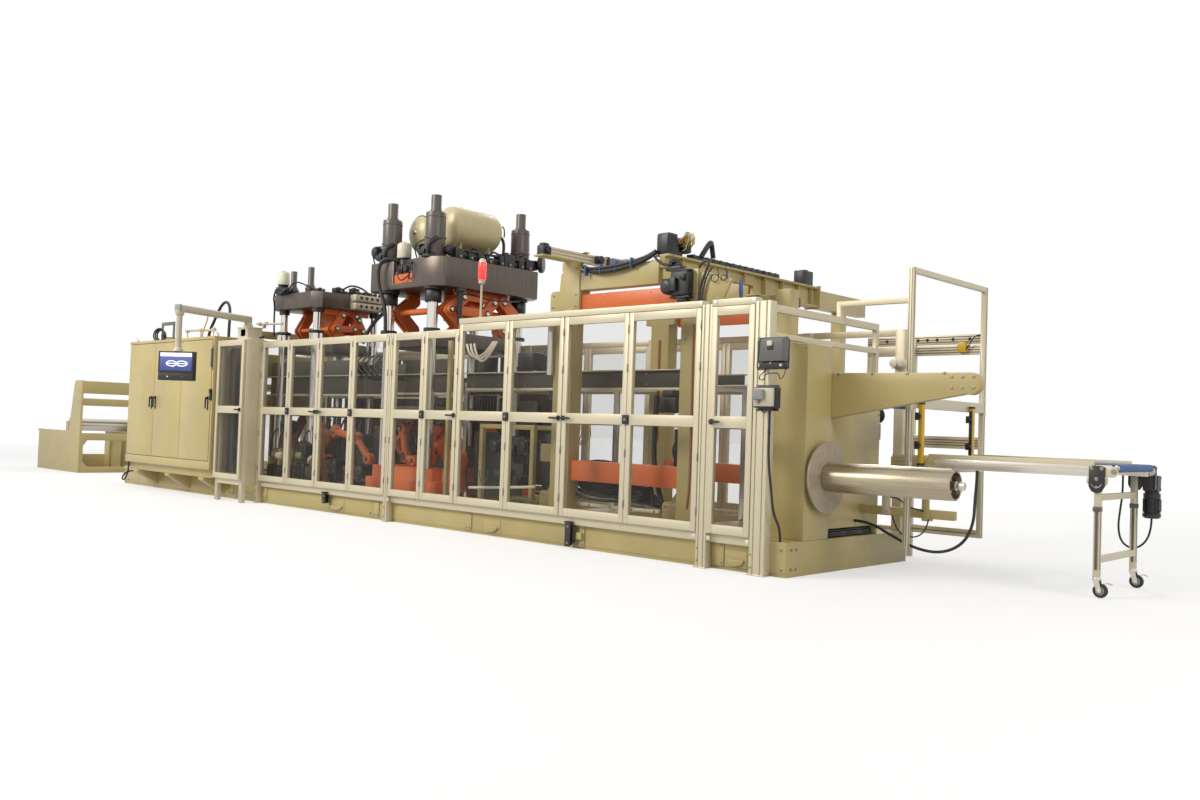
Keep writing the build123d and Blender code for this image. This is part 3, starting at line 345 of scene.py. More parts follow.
# %% Dress the CAD nodes
node_looks = {
    "machine_base": cream_enamel, "guard_posts": guard_aluminium, "guard_rails": guard_aluminium,
    "folding_door_frames": guard_aluminium, "rear_guard_frames": guard_aluminium, "guard_panes": clear_pane,
    "door_latches": black_plastic, "bay_guard": guard_aluminium, "control_cabinet": cream_enamel,
    "cabinet_door_left": cream_enamel, "cabinet_door_middle": cream_enamel,
    "cabinet_door_right": cream_enamel, "hmi_arm": arm_enamel, "hmi_panel": black_plastic,
    "sheet_heater": cream_enamel, "first_press_platens": plate_steel, "forming_press_platens": plate_steel,
    "press_tie_bars": chrome, "first_press_toggles": orange_enamel, "forming_press_toggles": orange_enamel,
    "press_cylinders": cylinder_grey, "air_tanks": pale_cream_enamel, "oil_reservoirs": white_plastic,
    "crown_hydraulics": black_enamel, "chain_rails": bright_steel, "stacker_castings": cream_enamel,
    "stacker_beams": orange_enamel, "stacker_gantry": cream_enamel, "stacker_drives": black_enamel,
    "winder_column": cream_enamel, "winder_arm": cream_enamel, "rewind_mandrel": mandrel_steel,
    "mandrel_disc": disc_steel, "discharge_guard": guard_aluminium, "light_curtains": yellow_enamel,
    "conveyor_frame": bright_steel, "conveyor_belt": belt_rubber, "conveyor_stand": guard_aluminium,
    "near_caster_fork": bright_steel, "far_caster_fork": bright_steel, "near_caster_wheel": tyre_rubber,
    "far_caster_wheel": tyre_rubber, "conveyor_drive": black_enamel, "unwind_stand": cream_enamel,
    "unwind_roll": bright_steel, "signal_lamp": lamp_red, "control_boxes": grey_enamel,
    "bay_door": guard_aluminium, "end_door": guard_aluminium,}


def wear(thing, material):
    """Give an object one material, in place of whatever it had."""
    thing.data.materials.clear()
    thing.data.materials.append(material)


for name, look in node_looks.items():
    for slot in nodes[name].material_slots:
        slot.material = look
print("nodes dressed:", len(node_looks))

for name, (route, diameter) in cable_routes.items():
    cable = cables[name]
    wear(cable, cable_black)
    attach(cable, "root")
    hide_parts(name)
print("cables declared:", len(cable_routes))

# %% [markdown]
# ## The workshop
# Every new piece starts as a primitive, gets its shape in edit mode and loses its sharp edges to a
# bevel, because no real edge is perfectly sharp and the small highlight sells the size. These few
# helpers do what the mouse would do.

# %% Set up the workshop
def hold(*things):
    """Select only these objects, the last one active."""
    bpy.ops.object.select_all(action="DESELECT")
    for thing in things:
        thing.select_set(True)
    bpy.context.view_layer.objects.active = things[-1]


def settle(thing):
    """Put an object's place, turn and size into its mesh."""
    hold(thing)
    bpy.ops.object.transform_apply(location=True, rotation=True, scale=True)
    return thing


def soften(thing, edge, segments=2):
    """Round every sharp edge and smooth the rest."""
    hold(thing)
    if edge > 0:
        bevel = thing.modifiers.new("edge", "BEVEL")
        bevel.width, bevel.segments = edge, segments
        bevel.limit_method, bevel.angle_limit = "ANGLE", math.radians(32)
        bpy.ops.object.modifier_apply(modifier="edge")
    bpy.ops.object.shade_smooth_by_angle(angle=math.radians(38))
    return thing


def about(middle, half):
    """The two limits that lie half a width on either side of a middle."""
    return (middle - half, middle + half)


def box(x, y, z, edge=0.003, segments=2):
    """A block between two limits on each axis."""
    middle = [(low + high) / 2 for low, high in (x, y, z)]
    size = [abs(high - low) for low, high in (x, y, z)]
    bpy.ops.mesh.primitive_cube_add(size=1.0, location=middle, scale=size)
    return soften(settle(bpy.context.object), min(edge, 0.3 * min(size)), segments)


def bar(start, end, radius, edge=0.0015, sides=24):
    """A round bar between two points."""
    start, end = Vector(start), Vector(end)
    turn = (end - start).to_track_quat("Z", "Y").to_euler()
    bpy.ops.mesh.primitive_cone_add(
        vertices=sides, radius1=radius, radius2=radius, depth=(end - start).length,
        location=(start + end) / 2, rotation=turn)
    return soften(settle(bpy.context.object), edge, 1)


def lathe(start, end, steps, sides=32):
    """Spin a profile of (share of the length, radius) steps about the line from start to end."""
    start, end = Vector(start), Vector(end)
    length = (end - start).length
    bpy.ops.mesh.primitive_plane_add(size=1.0)
    profile = bpy.context.object
    corners = [(0.0, 0.0, steps[0][0] * length)]
    corners += [(radius, 0.0, share * length) for share, radius in steps]
    corners += [(0.0, 0.0, steps[-1][0] * length)]
    profile.data.clear_geometry()
    profile.data.from_pydata(corners, [(index, index + 1) for index in range(len(corners) - 1)], [])
    bpy.ops.object.mode_set(mode="EDIT")
    bpy.ops.mesh.select_all(action="SELECT")
    bpy.ops.mesh.spin(steps=sides, angle=math.tau, center=(0, 0, 0), axis=(0, 0, 1))
    bpy.ops.mesh.select_all(action="SELECT")
    bpy.ops.mesh.remove_doubles(threshold=1e-5)
    bpy.ops.mesh.normals_make_consistent(inside=False)
    bpy.ops.object.mode_set(mode="OBJECT")
    profile.rotation_euler = (end - start).to_track_quat("Z", "Y").to_euler()
    profile.location = start
    return soften(settle(profile), 0)


def slab(corners, axis, near, far, edge=0.003, segments=2):
    """A plate with a drawn outline, square to axis 0, 1 or 2, from near to far."""
    bpy.ops.mesh.primitive_circle_add(vertices=len(corners), fill_type="NGON", radius=1.0)
    plate = bpy.context.object
    for vertex, (first, second) in zip(plate.data.vertices, corners):
        place = [first, second]
        place.insert(axis, near)
        vertex.co = place
    push = [0.0, 0.0, 0.0]
    push[axis] = far - near
    bpy.ops.object.mode_set(mode="EDIT")
    bpy.ops.mesh.select_all(action="SELECT")
    bpy.ops.mesh.extrude_region_move(TRANSFORM_OT_translate={"value": push})
    bpy.ops.mesh.select_all(action="SELECT")
    bpy.ops.mesh.normals_make_consistent(inside=False)
    bpy.ops.object.mode_set(mode="OBJECT")
    return soften(settle(plate), edge, segments)


def pipe(points, radius, sides=3):
    """A bent pipe along smooth control points, as a mesh."""
    bent = nurbs_curve("pipe", points)
    bent.data.resolution_u = 6
    bent.data.bevel_depth, bent.data.bevel_resolution = radius, sides
    bent.data.use_fill_caps = True
    hold(bent)
    bpy.ops.object.convert(target="MESH")
    return soften(bpy.context.object, 0)


def copies(thing, shifts):
    """The thing and a copy of it, with its own mesh, at each shift."""
    made = []
    for shift in shifts:
        twin = thing.copy()
        twin.data = thing.data.copy()
        twin.data.transform(Matrix.Translation(shift))
        bpy.context.scene.collection.objects.link(twin)
        made.append(twin)
    return [thing] + made


def piece(name, things, finish, body="root", replaces=()):
    """Join things into one named piece, give it the look of its finish, and hang it on its body."""
    look, slot = finish
    hold(*things)
    if len(things) > 1:
        bpy.ops.object.join()
    made = bpy.context.object
    made.name = made.data.name = name
    wear(made, look)
    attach(made, body)
    if replaces:
        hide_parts(*replaces)
    return made


def refined(node, edge):
    """Replace a CAD node by a copy of itself with softened edges."""
    source = nodes[node]
    made = source.copy()
    made.data = source.data.copy()
    made.parent = None
    bpy.context.scene.collection.objects.link(made)
    hold(made)
    bpy.ops.object.mode_set(mode="EDIT")
    bpy.ops.mesh.select_all(action="SELECT")
    bpy.ops.mesh.customdata_custom_splitnormals_clear()
    bpy.ops.mesh.remove_doubles(threshold=1e-5)
    bpy.ops.mesh.dissolve_limited(angle_limit=math.radians(0.5))
    bpy.ops.object.mode_set(mode="OBJECT")
    soften(made, edge)
    slots = {part["node"]: part["material_slot"] for part in frame["record"]["subparts"]}
    body = next(body for body, members in frame["record"]["behaviour"]["bodies"].items() if node in members)
    return piece(node + "_dressed", [made], (node_looks[node], slots[node]), body, (node,))


def spun(things, pivot, degrees):
    """Turn finished things about an upright line through a pivot."""
    pivot = Matrix.Translation(pivot)
    turn = pivot @ Matrix.Rotation(math.radians(degrees), 4, "Z") @ pivot.inverted()
    for thing in things:
        thing.data.transform(turn)
    return things


def turns(count, first=0.0, more=0):
    """Angles spread evenly round a circle, from a share of one step on."""
    return [math.tau * (index + first) / count for index in range(count + more)]


def around(centre, radius, angles, axis=2):
    """Points on a circle about a line along axis 0, 1 or 2."""
    places = []
    for angle in angles:
        steps = [radius * math.cos(angle), radius * math.sin(angle)]
        steps.insert(axis, 0.0)
        places.append(tuple(value + step for value, step in zip(centre, steps)))
    return places


def knob(radius, tip, share=0.7):
    """Lathe steps that run straight for a share of the length and then narrow to the tip."""
    return [(0, radius), (share, radius), (1, tip)]


def drum(end, belly, far_end, share=0.1):
    """Lathe steps of a band whose two ends are turned down over a share of the length."""
    return [(0, end), (share, belly), (1 - share, belly), (1, far_end)]


def stepped(first, until, second, since):
    """Lathe steps of two straight parts with a short slope between them."""
    return [(0, first), (until, first), (since, second), (1, second)]


FRONT, REAR, DISCHARGE = (0, -1, 0), (0, 1, 0), (1, 0, 0)
UP, DOWN = (0, 0, 1), (0, 0, -1)


def bolts(places, normal, size=0.009):
    """A hexagon head on a washer at each place, standing off along the normal."""
    first, normal = Vector(places[0]), Vector(normal)
    washer = lathe(first, first + normal * size * 0.2, knob(size * 1.5, size * 1.35, 0.6), 16)
    head = bar(first + normal * size * 0.2, first + normal * size * 0.9, size, size * 0.12, 6)
    hold(washer, head)
    bpy.ops.object.join()
    return copies(bpy.context.object, [Vector(place) - first for place in places[1:]])


print("workshop ready")

# %% [markdown]
# ## Softer edges for the big forms
# The CAD solids have knife edges. On the castings, plates and sheet-metal boxes a small bevel catches
# the lamp, so these nodes are replaced by copies of themselves with their edges rounded.

# %% Round the edges of the big forms
node_edges = {
    "machine_base": 0.006, "control_cabinet": 0.006, "sheet_heater": 0.006, "first_press_platens": 0.006,
    "forming_press_platens": 0.008, "first_press_toggles": 0.005, "forming_press_toggles": 0.006,
    "stacker_castings": 0.022, "stacker_beams": 0.006, "stacker_gantry": 0.003, "winder_column": 0.008,
    "winder_arm": 0.007, "guard_posts": 0.002, "guard_rails": 0.002, "bay_guard": 0.002,
    "discharge_guard": 0.003, "unwind_stand": 0.004, "chain_rails": 0.002, "mandrel_disc": 0.004,
    "conveyor_frame": 0.002, "conveyor_stand": 0.002, "press_cylinders": 0.005}
for node, edge in node_edges.items():
    refined(node, edge)
print("nodes softened:", len(node_edges))

# %% [markdown]
# ## Guard doors
# Each leaf is a frame of aluminium bars, butted at the corners, round two clear panels. The bars are
# modelled one by one, so the joints between them show as fine lines.

# %% Build the door leaves
LEAF_DEPTH = 0.04
JOINT_GAP = 0.0008
STILE = 0.052
END_RAIL = 0.072
MID_RAIL_DEPTH = 0.094
MID_RAIL = 1.185


def leaf_bars(x, z, front):
    """The two uprights and three rails of one leaf."""
    y = (front, front + LEAF_DEPTH)
    inner = (x[0] + STILE + JOINT_GAP, x[1] - STILE - JOINT_GAP)
    bars = [box((x[0], x[0] + STILE), y, z, 0.002), box((x[1] - STILE, x[1]), y, z, 0.002)]
    for middle, height in (
            (z[0] + END_RAIL / 2, END_RAIL), (MID_RAIL, MID_RAIL_DEPTH), (z[1] - END_RAIL / 2, END_RAIL)):
        bars.append(box(inner, (y[0] + 0.0006, y[1]), about(middle, height / 2), 0.002))
    return bars


front_line = -1.065
door_edges = [(-1.814, -0.469), (-0.469, 0.947), (1.014, 2.156), (2.156, 3.689), (3.689, 5.289)]
leaves = []
hinges = []
for left, right in door_edges:
    fold = (left + right) / 2
    top = 2.06 if right < 2.17 else 2.115
    for x in ((left + 0.006, fold - 0.003), (fold + 0.003, right - 0.006)):
        leaves += leaf_bars(x, (0.29, top), front_line)
    for z in (0.42, 0.86, 1.6, 1.94):
        for x in (left + 0.003, fold, right - 0.003):
            hinges.append(
                bar((x, front_line - 0.004, z), (x, front_line - 0.004, z + 0.07), 0.006, 0.001, 10))
piece("folding_leaves", leaves, ALUMINIUM, replaces=("folding_door_frames",))
piece("leaf_hinges", hinges, BOLT)

rear_front = -front_line - LEAF_DEPTH - 0.02
rear_posts = [-6.055, -4.2, -1.85, 0.98, 3.0, 5.0, 5.99]
leaves = []
for left, right in zip(rear_posts[:-1], rear_posts[1:-1]):
    middle = (left + right) / 2
    for x in ((left + 0.049, middle - 0.003), (middle + 0.003, right - 0.049)):
        leaves += leaf_bars(x, (0.304, 2.036), rear_front)
piece("rear_leaves", leaves, ALUMINIUM, replaces=("rear_guard_frames",))


def lever(x, z, face, reach):
    """A bent black lever handle on its rose."""
    rose = box(about(x, 0.011), (face - 0.026, face), about(z, 0.022), 0.004)
    grip = slab(
        [(x - math.copysign(0.008, reach), z - 0.009), (x + reach * 0.8, z - 0.01), (x + reach, z - 0.004),
         (x + reach, z + 0.004), (x + reach * 0.8, z + 0.01), (x - math.copysign(0.008, reach), z + 0.009)],
        1, face - 0.04, face - 0.026, 0.003)
    return [rose, grip]


for door, x, front, top, handle_x, reach in (
        ("bay_door", (-2.555, -1.865), -1.296, 2.08, -1.895, -0.1),
        ("end_door", (5.397, 5.814), -1.071, 2.115, 5.427, 0.1)):
    piece(door + "_leaf", leaf_bars(x, (0.29, top), front), ALUMINIUM, door, (door,))
    middle = front + LEAF_DEPTH / 2
    clear = [box((x[0] + STILE, x[1] - STILE), about(middle, 0.003), z, 0)
             for z in ((0.29 + END_RAIL, MID_RAIL - MID_RAIL_DEPTH / 2),
                       (MID_RAIL + MID_RAIL_DEPTH / 2, top - END_RAIL))]
    piece(door + "_panels", clear, (clear_pane, "clear_pane"), door, (door,))
    piece(door + "_lever", lever(handle_x, MID_RAIL, front, reach), PLASTIC, door, (door,))
print("door leaves built")

# %% [markdown]
# ## Latches
# A black square latch sits on every fold at the middle rail, with a key cylinder in its centre.

# %% Build the latches and levers of the folding doors
latches, keys = [], []
for index, (left, right) in enumerate(door_edges):
    fold = (left + right) / 2
    latches.append(box(about(fold, 0.032), (front_line - 0.02, front_line), about(MID_RAIL, 0.042), 0.006))
    handle_x, reach = (right - 0.03, -0.11) if index in (0, 2, 3) else (left + 0.03, 0.11)
    latches += lever(handle_x, MID_RAIL, front_line, reach)
    keys.append(
        lathe((fold, front_line - 0.019, MID_RAIL), (fold, front_line - 0.022, MID_RAIL),
              knob(0.011, 0.009, 0.9), 20))
piece("fold_latches", latches, PLASTIC, replaces=("door_latches",))
piece("latch_keys", keys, BOLT)
print("latches built")

# %% [markdown]
# ## Control cabinet
# Three folded steel doors hang on a tall cabinet. Every door has a swing handle and hidden hinges,
# and the main switch lever sits on the right-hand stile.

# %% Build the cabinet doors and what stands on the cabinet
# Left edge, right edge, middle of the grip and line of the hinges
door_sides = {
    "left": (-5.226, -4.364, -4.42, -5.226), "middle": (-4.356, -3.524, -4.3, -3.524),
    "right": (-3.516, -2.654, -2.71, -3.516)}
for side, (left, right, grip, _) in door_sides.items():
    node = "cabinet_door_" + side
    sheet = [box((left, right), (-1.325, -1.299), (0.496, 2.104), 0.006, 3)]
    piece(node + "_sheet", sheet, CREAM, node, (node,))
    swing = [box(about(grip, 0.015), (-1.333, -1.325), (1.17, 1.352), 0.004),
             slab([(-1.333, 1.346), (-1.362, 1.338), (-1.369, 1.326), (-1.369, 1.196), (-1.362, 1.184),
                   (-1.354, 1.19), (-1.352, 1.308), (-1.333, 1.314)], 0, grip - 0.009, grip + 0.009, 0.003)]
    piece(node + "_handle", swing, PLASTIC, node, (node,))
pins = []
for left, _, _, hinge in door_sides.values():
    for z in (0.66, 1.3, 1.94):
        inward = 0.004 if hinge == left else -0.004
        pins.append(bar((hinge - inward, -1.316, z), (hinge - inward, -1.316, z + 0.09), 0.0035, 0.0008, 8))
piece("cabinet_hinge_pins", pins, BOLT)
switch = [box((-2.646, -2.606), (-1.331, -1.325), (1.7, 2.02), 0.004),
          slab([(-2.64, 1.735), (-2.612, 1.735), (-2.616, 1.93), (-2.62, 1.985), (-2.636, 1.985),
                (-2.64, 1.93)], 1, -1.352, -1.331, 0.006)]
piece("main_switch", switch, GREY)
latch = [box((-2.642, -2.602), (-1.35, -1.32), (1.3, 1.43), 0.01, 3),
         box((-2.646, -2.602), (-1.356, -1.33), (1.395, 1.448), 0.006)]
piece("cabinet_side_latch", latch, PLASTIC)

# Behind the doors: the mounting plate, its wiring ducts, rails and rows of modules
plate = [box((-5.16, -2.72), (-0.776, -0.77), (0.56, 2.03), 0.002)]
ducting = [
    box((-5.12, -2.76), (-0.836, -0.776), (z, z + 0.055), 0.003) for z in (0.6, 0.97, 1.34, 1.69, 1.96)]
ducting += [
    box((x, x + 0.055), (-0.834, -0.778), (0.655, 1.96), 0.003) for x in (-5.12, -4.39, -3.55, -2.815)]
dark_modules, pale_modules, rails = [], [], []
for row, z in enumerate((0.8, 1.16, 1.51, 1.82)):
    rails.append(box((-5.05, -2.83), (-0.79, -0.776), about(z, 0.018), 0.002))
    for bay, (left, right) in enumerate(((-5.04, -4.42), (-4.31, -3.58), (-3.47, -2.84))):
        x, count = left, 0
        while x < right - 0.12:
            wide = 0.035 + 0.018 * ((count * 5 + row * 3 + bay) % 5)
            tall = 0.045 + 0.012 * ((bay * 2 + row) % 4)
            deep = 0.055 + 0.03 * ((count + row + bay) % 3)
            target = dark_modules if (count // 4 + row + bay) % 2 else pale_modules
            target.append(box((x, x + wide), (-0.79 - deep, -0.79), about(z, tall), 0.003))
            target.append(
                box((x + wide * 0.25, x + wide * 0.75), (-0.797 - deep, -0.788 - deep),
                    (z - 0.012, z + 0.02), 0.002))
            x, count = x + wide + 0.004, count + 1
piece("cabinet_plate", plate, COVER)
piece("cabinet_ducting", ducting, GREY_PLASTIC)
piece("cabinet_rails", rails, BRIGHT)
piece("cabinet_dark_modules", dark_modules, PLASTIC)
piece("cabinet_pale_modules", pale_modules, GREY_PLASTIC)
eyes = []
for x in (-5.18, -2.68):
    bpy.ops.mesh.primitive_torus_add(
        major_radius=0.024, minor_radius=0.007, location=(x, -1.24, 2.186), rotation=(math.pi / 2, 0, 0))
    eyes += [settle(bpy.context.object), bar((x, -1.24, 2.15), (x, -1.24, 2.164), 0.018)]
piece("cabinet_lifting_eyes", eyes, BRIGHT)
rings = []
for turn_number in range(3):
    bpy.ops.mesh.primitive_torus_add(
        major_radius=0.095 - 0.008 * turn_number, minor_radius=0.011, major_segments=40,
        location=(-4.8, -1.1 + 0.02 * turn_number, 2.262 - 0.004 * turn_number),
        rotation=(math.radians(84 + 5 * turn_number), 0.1, math.radians(24)))
    rings.append(soften(settle(bpy.context.object), 0))
rings.append(box((-4.9, -4.7), (-1.16, -1.02), (2.15, 2.176), 0.006))
rings.append(
    pipe([(-4.71, -1.1, 2.25), (-4.66, -1.08, 2.2), (-4.62, -1.04, 2.17), (-4.5, -0.98, 2.165)], 0.01))
piece("spare_cable_coil", rings, RUBBER)
stand = [box((-4.905, -4.865), (-1.02, -1.0), (2.15, 2.455), 0.003),
         box((-4.865, -4.49), (-1.02, -1.0), (2.405, 2.455), 0.003),
         box((-4.53, -4.49), (-1.02, -1.0), (2.15, 2.405), 0.003)]
piece("cabinet_top_frame", stand, GREY)
ducts = [pipe([(-4.36, -0.9, 2.325), (-3.9, -0.9, 2.312), (-3.44, -0.9, 2.296)], 0.016),
         pipe([(-2.1, -1.0, 2.318), (-1.95, -1.0, 2.306), (-1.46, -1.0, 2.29)], 0.015)]
for x in (-4.3, -3.88, -3.5):
    ducts += [bar((x, -0.9, 2.15), (x, -0.9, 2.33), 0.009),
              bar((x - 0.03, -0.9, 2.314), (x + 0.03, -0.9, 2.314), 0.022)]
for x in (-2.02, -1.86):
    ducts.append(bar((x - 0.02, -1.0, 2.31), (x + 0.02, -1.0, 2.308), 0.024))
ducts += [box((-1.93, -1.9), (-1.02, -0.98), (2.25, 2.3), 0.003)]
piece("air_lines", ducts, ARM_CREAM)
piece("yellow_air_line",
      [pipe([(-3.8, -0.92, 2.15), (-3.78, -0.93, 2.26), (-3.68, -0.94, 2.36), (-3.6, -0.95, 2.44),
             (-3.56, -0.96, 2.5)], 0.009)], YELLOW)
print("cabinet dressed")

# %% [markdown]
# ## Operator panel
# The arm is a rounded tube with a grey end cap. The screen shows only a plain drawing of loops, and the
# dark strip below it holds two small buttons.

# %% Build the arm and the panel
foot, elbow = (-2.01, -1.175), (-1.494, -2.315)
reach = math.hypot(elbow[0] - foot[0], elbow[1] - foot[1])
heading = math.degrees(math.atan2(elbow[1] - foot[1], elbow[0] - foot[0]))
tube = spun(
    [box((foot[0] - 0.042, foot[0] + reach + 0.02), about(foot[1], 0.042), (2.308, 2.392), 0.022, 4)],
    (*foot, 0), heading)
arm = tube + [
    lathe((*foot, 2.2505), (*foot, 2.312), [(0, 0.062), (0.4, 0.062), (0.62, 0.05), (1, 0.048)]),
    lathe((*elbow, 2.2625), (*elbow, 2.322), [(0, 0.04), (0.2, 0.05), (1, 0.052)])]
piece("arm_tube", arm, ARM_CREAM, "hmi_arm", ("hmi_arm",))
cap = spun(
    [box((foot[0] + reach + 0.016, foot[0] + reach + 0.044), about(foot[1], 0.043), (2.307, 2.393), 0.014,
         3)], (*foot, 0), heading)
piece("arm_end_cap", cap, GREY_PLASTIC, "hmi_arm", ("hmi_arm",))
piece("panel_drop_tube",
      [lathe((*elbow, 1.858), (*elbow, 2.2617), knob(0.034, 0.04, 0.985)),
       lathe((*elbow, 1.837), (*elbow, 1.886), [(0, 0.058), (0.5, 0.056), (1, 0.036)])], ARM_CREAM,
      "hmi_panel", ("hmi_panel",))
view = (elbow[0], elbow[1], 0.0)
face = math.degrees(math.atan2(0.57, 0.82))


def on_panel(x, y, z, edge=0.0):
    """A block on the panel, from its centre line, its middle plane and the floor."""
    return spun(
        [box((elbow[0] + x[0], elbow[0] + x[1]), (elbow[1] + y[0], elbow[1] + y[1]), z, edge)], view,
        face)[0]


housing = [
    on_panel((-0.2225, 0.2225), (-0.03, 0.036), (1.495, 1.837), 0.008),
    on_panel((-0.2225, 0.2225), (-0.036, -0.03), (1.584, 1.837), 0.002)]
housing += [on_panel((-0.16, 0.16), (0.036, 0.05), (1.54, 1.8), 0.006)]
piece("panel_housing", housing, PLASTIC, "hmi_panel", ("hmi_panel",))
piece("panel_key_strip", [on_panel((-0.22, 0.22), (-0.0345, -0.03), (1.498, 1.58), 0.0015)], BLACK,
      "hmi_panel", ("hmi_panel",))
screen_glow = Recipe("screen_look", Roughness=0.12, Emission_Strength=0.75)
shade = screen_glow.height().between(1.6, 1.82)
screen_glow.feed(
    Base_Color=screen_glow.mix(shade, (0.02, 0.03, 0.1), (0.05, 0.07, 0.22)),
    Emission_Color=screen_glow.mix(shade, (0.055, 0.075, 0.26), (0.13, 0.17, 0.47)))
piece("panel_screen", [on_panel((-0.2, 0.2), (-0.0366, -0.0358), (1.612, 1.82))],
      (screen_glow.material, "black_plastic"), "hmi_panel", ("hmi_panel",))
pale_glow = Recipe("screen_pale_look", Roughness=0.2, Emission_Strength=0.8)
pale_glow.feed(Emission_Color=pale_glow.mix(pale_glow.noise(30.0), (0.62, 0.66, 0.84), (0.8, 0.84, 0.95)))
drawn = [on_panel((-0.199, 0.199), (-0.0372, -0.0365), (1.776, 1.819))]
for middle, width in ((-0.055, 0.07), (0.075, 0.075)):
    bpy.ops.mesh.primitive_torus_add(
        major_radius=0.03, minor_radius=0.0052, major_segments=36, minor_segments=8,
        location=(elbow[0] + middle, elbow[1] - 0.0368, 1.694), rotation=(math.pi / 2, 0, 0))
    loop = bpy.context.object
    loop.scale = (width / 0.035, 1.0, 0.08)
    drawn += spun([settle(loop)], view, face)
drawn += [on_panel((-0.115, 0.135), (-0.0372, -0.0365), (1.689, 1.699)),
          on_panel((-0.05, -0.02), (-0.0372, -0.0365), (1.656, 1.664))]
piece("panel_drawing", drawn, (pale_glow.material, "cream_gloss"), "hmi_panel", ("hmi_panel",))
buttons = [
    bar((elbow[0] + x, elbow[1] - 0.034, 1.538), (elbow[0] + x, elbow[1] - 0.04, 1.538), 0.009, 0.001, 20)
    for x in (-0.1, 0.09)]
spun(buttons, view, face)
piece("panel_white_button", [buttons[0]], WHITE_PLASTIC, "hmi_panel", ("hmi_panel",))
red_button = moulded("button_red", (0.45, 0.02, 0.015), 0.35)
piece("panel_red_button", [buttons[1]], (red_button, "red_lamp"), "hmi_panel", ("hmi_panel",))
gear = [box((-2.08, -1.95), (-1.235, -1.1), (2.125, 2.225), 0.006),
        bar((-2.01, -1.175, 2.225), (-2.01, -1.175, 2.236), 0.045),
        pipe([(-1.98, -1.12, 2.14), (-1.93, -1.08, 2.12), (-1.88, -1.05, 2.125), (-1.84, -1.03, 2.14)],
             0.01)]
piece("arm_foot_gear", gear, PLASTIC)
print("operator panel built")

# %% [markdown]
# ## Signal lamp
# A silver tube carries a ribbed collar and one lit red lens under a pale top.

# %% Build the signal lamp
lamp_x, lamp_y = 2.434, -1.02
pole = [lathe((lamp_x, lamp_y, 2.175), (lamp_x, lamp_y, 2.52), stepped(0.022, 0.03, 0.011, 0.036), 24)]
for z in (2.52, 2.533, 2.546):
    pole.append(
        lathe((lamp_x, lamp_y, z), (lamp_x, lamp_y, z + 0.0125), drum(0.032, 0.034, 0.032, 0.2), 32))
piece("lamp_pole", pole, (arm_enamel, "steel"), replaces=("signal_lamp",))
lens = [lathe((lamp_x, lamp_y, 2.5585), (lamp_x, lamp_y, 2.735), drum(0.034, 0.039, 0.036, 0.04), 40)]
piece("lamp_lens", lens, (lamp_red, "red_lamp"), replaces=("signal_lamp",))
piece("lamp_top",
      [lathe((lamp_x, lamp_y, 2.735), (lamp_x, lamp_y, 2.775),
             [(0, 0.036), (0.5, 0.034), (0.85, 0.026), (1, 0.012)], 32)], (white_plastic, "red_lamp"),
      replaces=("signal_lamp",))
print("signal lamp built")

# %% [markdown]
# ## Along the base
# Lifting pockets, the joint brackets with their bolted plates and the feet of the posts break up the
# long side of the base.

# %% Build the fittings on the base
base_face = -0.975
lips, pocket_shade_sheets, plates, heads, angles = [], [], [], [], []
for middle, half in ((-0.095, 0.13), (2.677, 0.1), (5.64, 0.085)):
    outline = [
        (middle + half * math.cos(angle), 0.095 - 0.055 * math.sin(angle))
        for angle in [math.pi * step / 14 for step in range(15)]]
    lips.append(slab(outline, 1, base_face, -1.003, 0.008, 3))
    pocket_shade_sheets.append(
        # Each pocket mouth gets a thin black sheet on the base face: painted shade, standing in for the
        # dark inside of the pocket.
        slab([(middle - half * 0.85, 0.096), (middle + half * 0.85, 0.096), (middle + half * 0.7, 0.115),
              (middle - half * 0.7, 0.115)], 1, -0.9762, -0.974, 0.0))
    lips.append(box((middle - half - 0.02, middle + half + 0.02), (-0.981, base_face), (0.03, 0.16), 0.003))
for x, low in ((3.785, 0.02), (-0.285, 0.11)):
    angles += [
        box((x, x + 0.008), (-1.062, base_face), (low, 0.24), 0.002),
        box((x, x + 0.07), (-1.066, -1.058), (low, 0.24), 0.002),
        box((x - 0.01, x + 0.07), (-1.072, -0.99), (0.232, 0.246), 0.002)]
    heads += bolts([(x + 0.035, -1.066, z) for z in (low + 0.03, 0.2)], FRONT, 0.007)
for left, right, low, high in (
        (3.865, 3.955, 0.02, 0.21), (2.275, 2.365, 0.03, 0.22), (5.4, 5.52, 0.03, 0.22),
        (-2.7, -2.585, 0.05, 0.23), (-1.795, -1.7, 0.05, 0.25), (0.66, 0.76, 0.03, 0.22)):
    plates.append(box((left, right), (-0.985, base_face), (low, high), 0.003))
    heads += bolts(
        [(x, -0.985, z) for x in (left + 0.02, right - 0.02) for z in (low + 0.025, high - 0.025)], FRONT,
        0.008)
plates.append(box((3.875, 3.945), (-1.015, -0.985), (0.085, 0.15), 0.01, 3))
for x in (-6.0, -3.1, 0.65, 3.76, 6.0):
    heads += bolts(
        [(x + shift, base_face, z) for shift in (-0.06, 0.06) for z in (0.06, 0.21)], FRONT, 0.01)
heads += bolts([(6.1, y, z) for y in (-0.9, -0.83) for z in (0.06, 0.21)], DISCHARGE, 0.01)
piece("lifting_pockets", lips, CREAM)
piece("pocket_painted_shade", pocket_shade_sheets, BLACK)
piece("joint_plates", plates, CREAM)
piece("joint_angles", angles, BLACK)
piece("base_bolts", heads, BOLT)
feet, screws = [], []
for left, right in ((-1.857, -1.82), (0.951, 1.01), (5.293, 5.393), (5.82, 5.958)):
    feet.append(box((left - 0.012, right + 0.012), (-1.078, -0.985), (0.0, 0.01), 0.002))
    screws += bolts([(left + 0.015, -1.066, 0.06), (left + 0.015, -1.066, 0.16)], FRONT, 0.006)
piece("post_feet", feet, BRIGHT)
piece("post_screws", screws, BOLT)
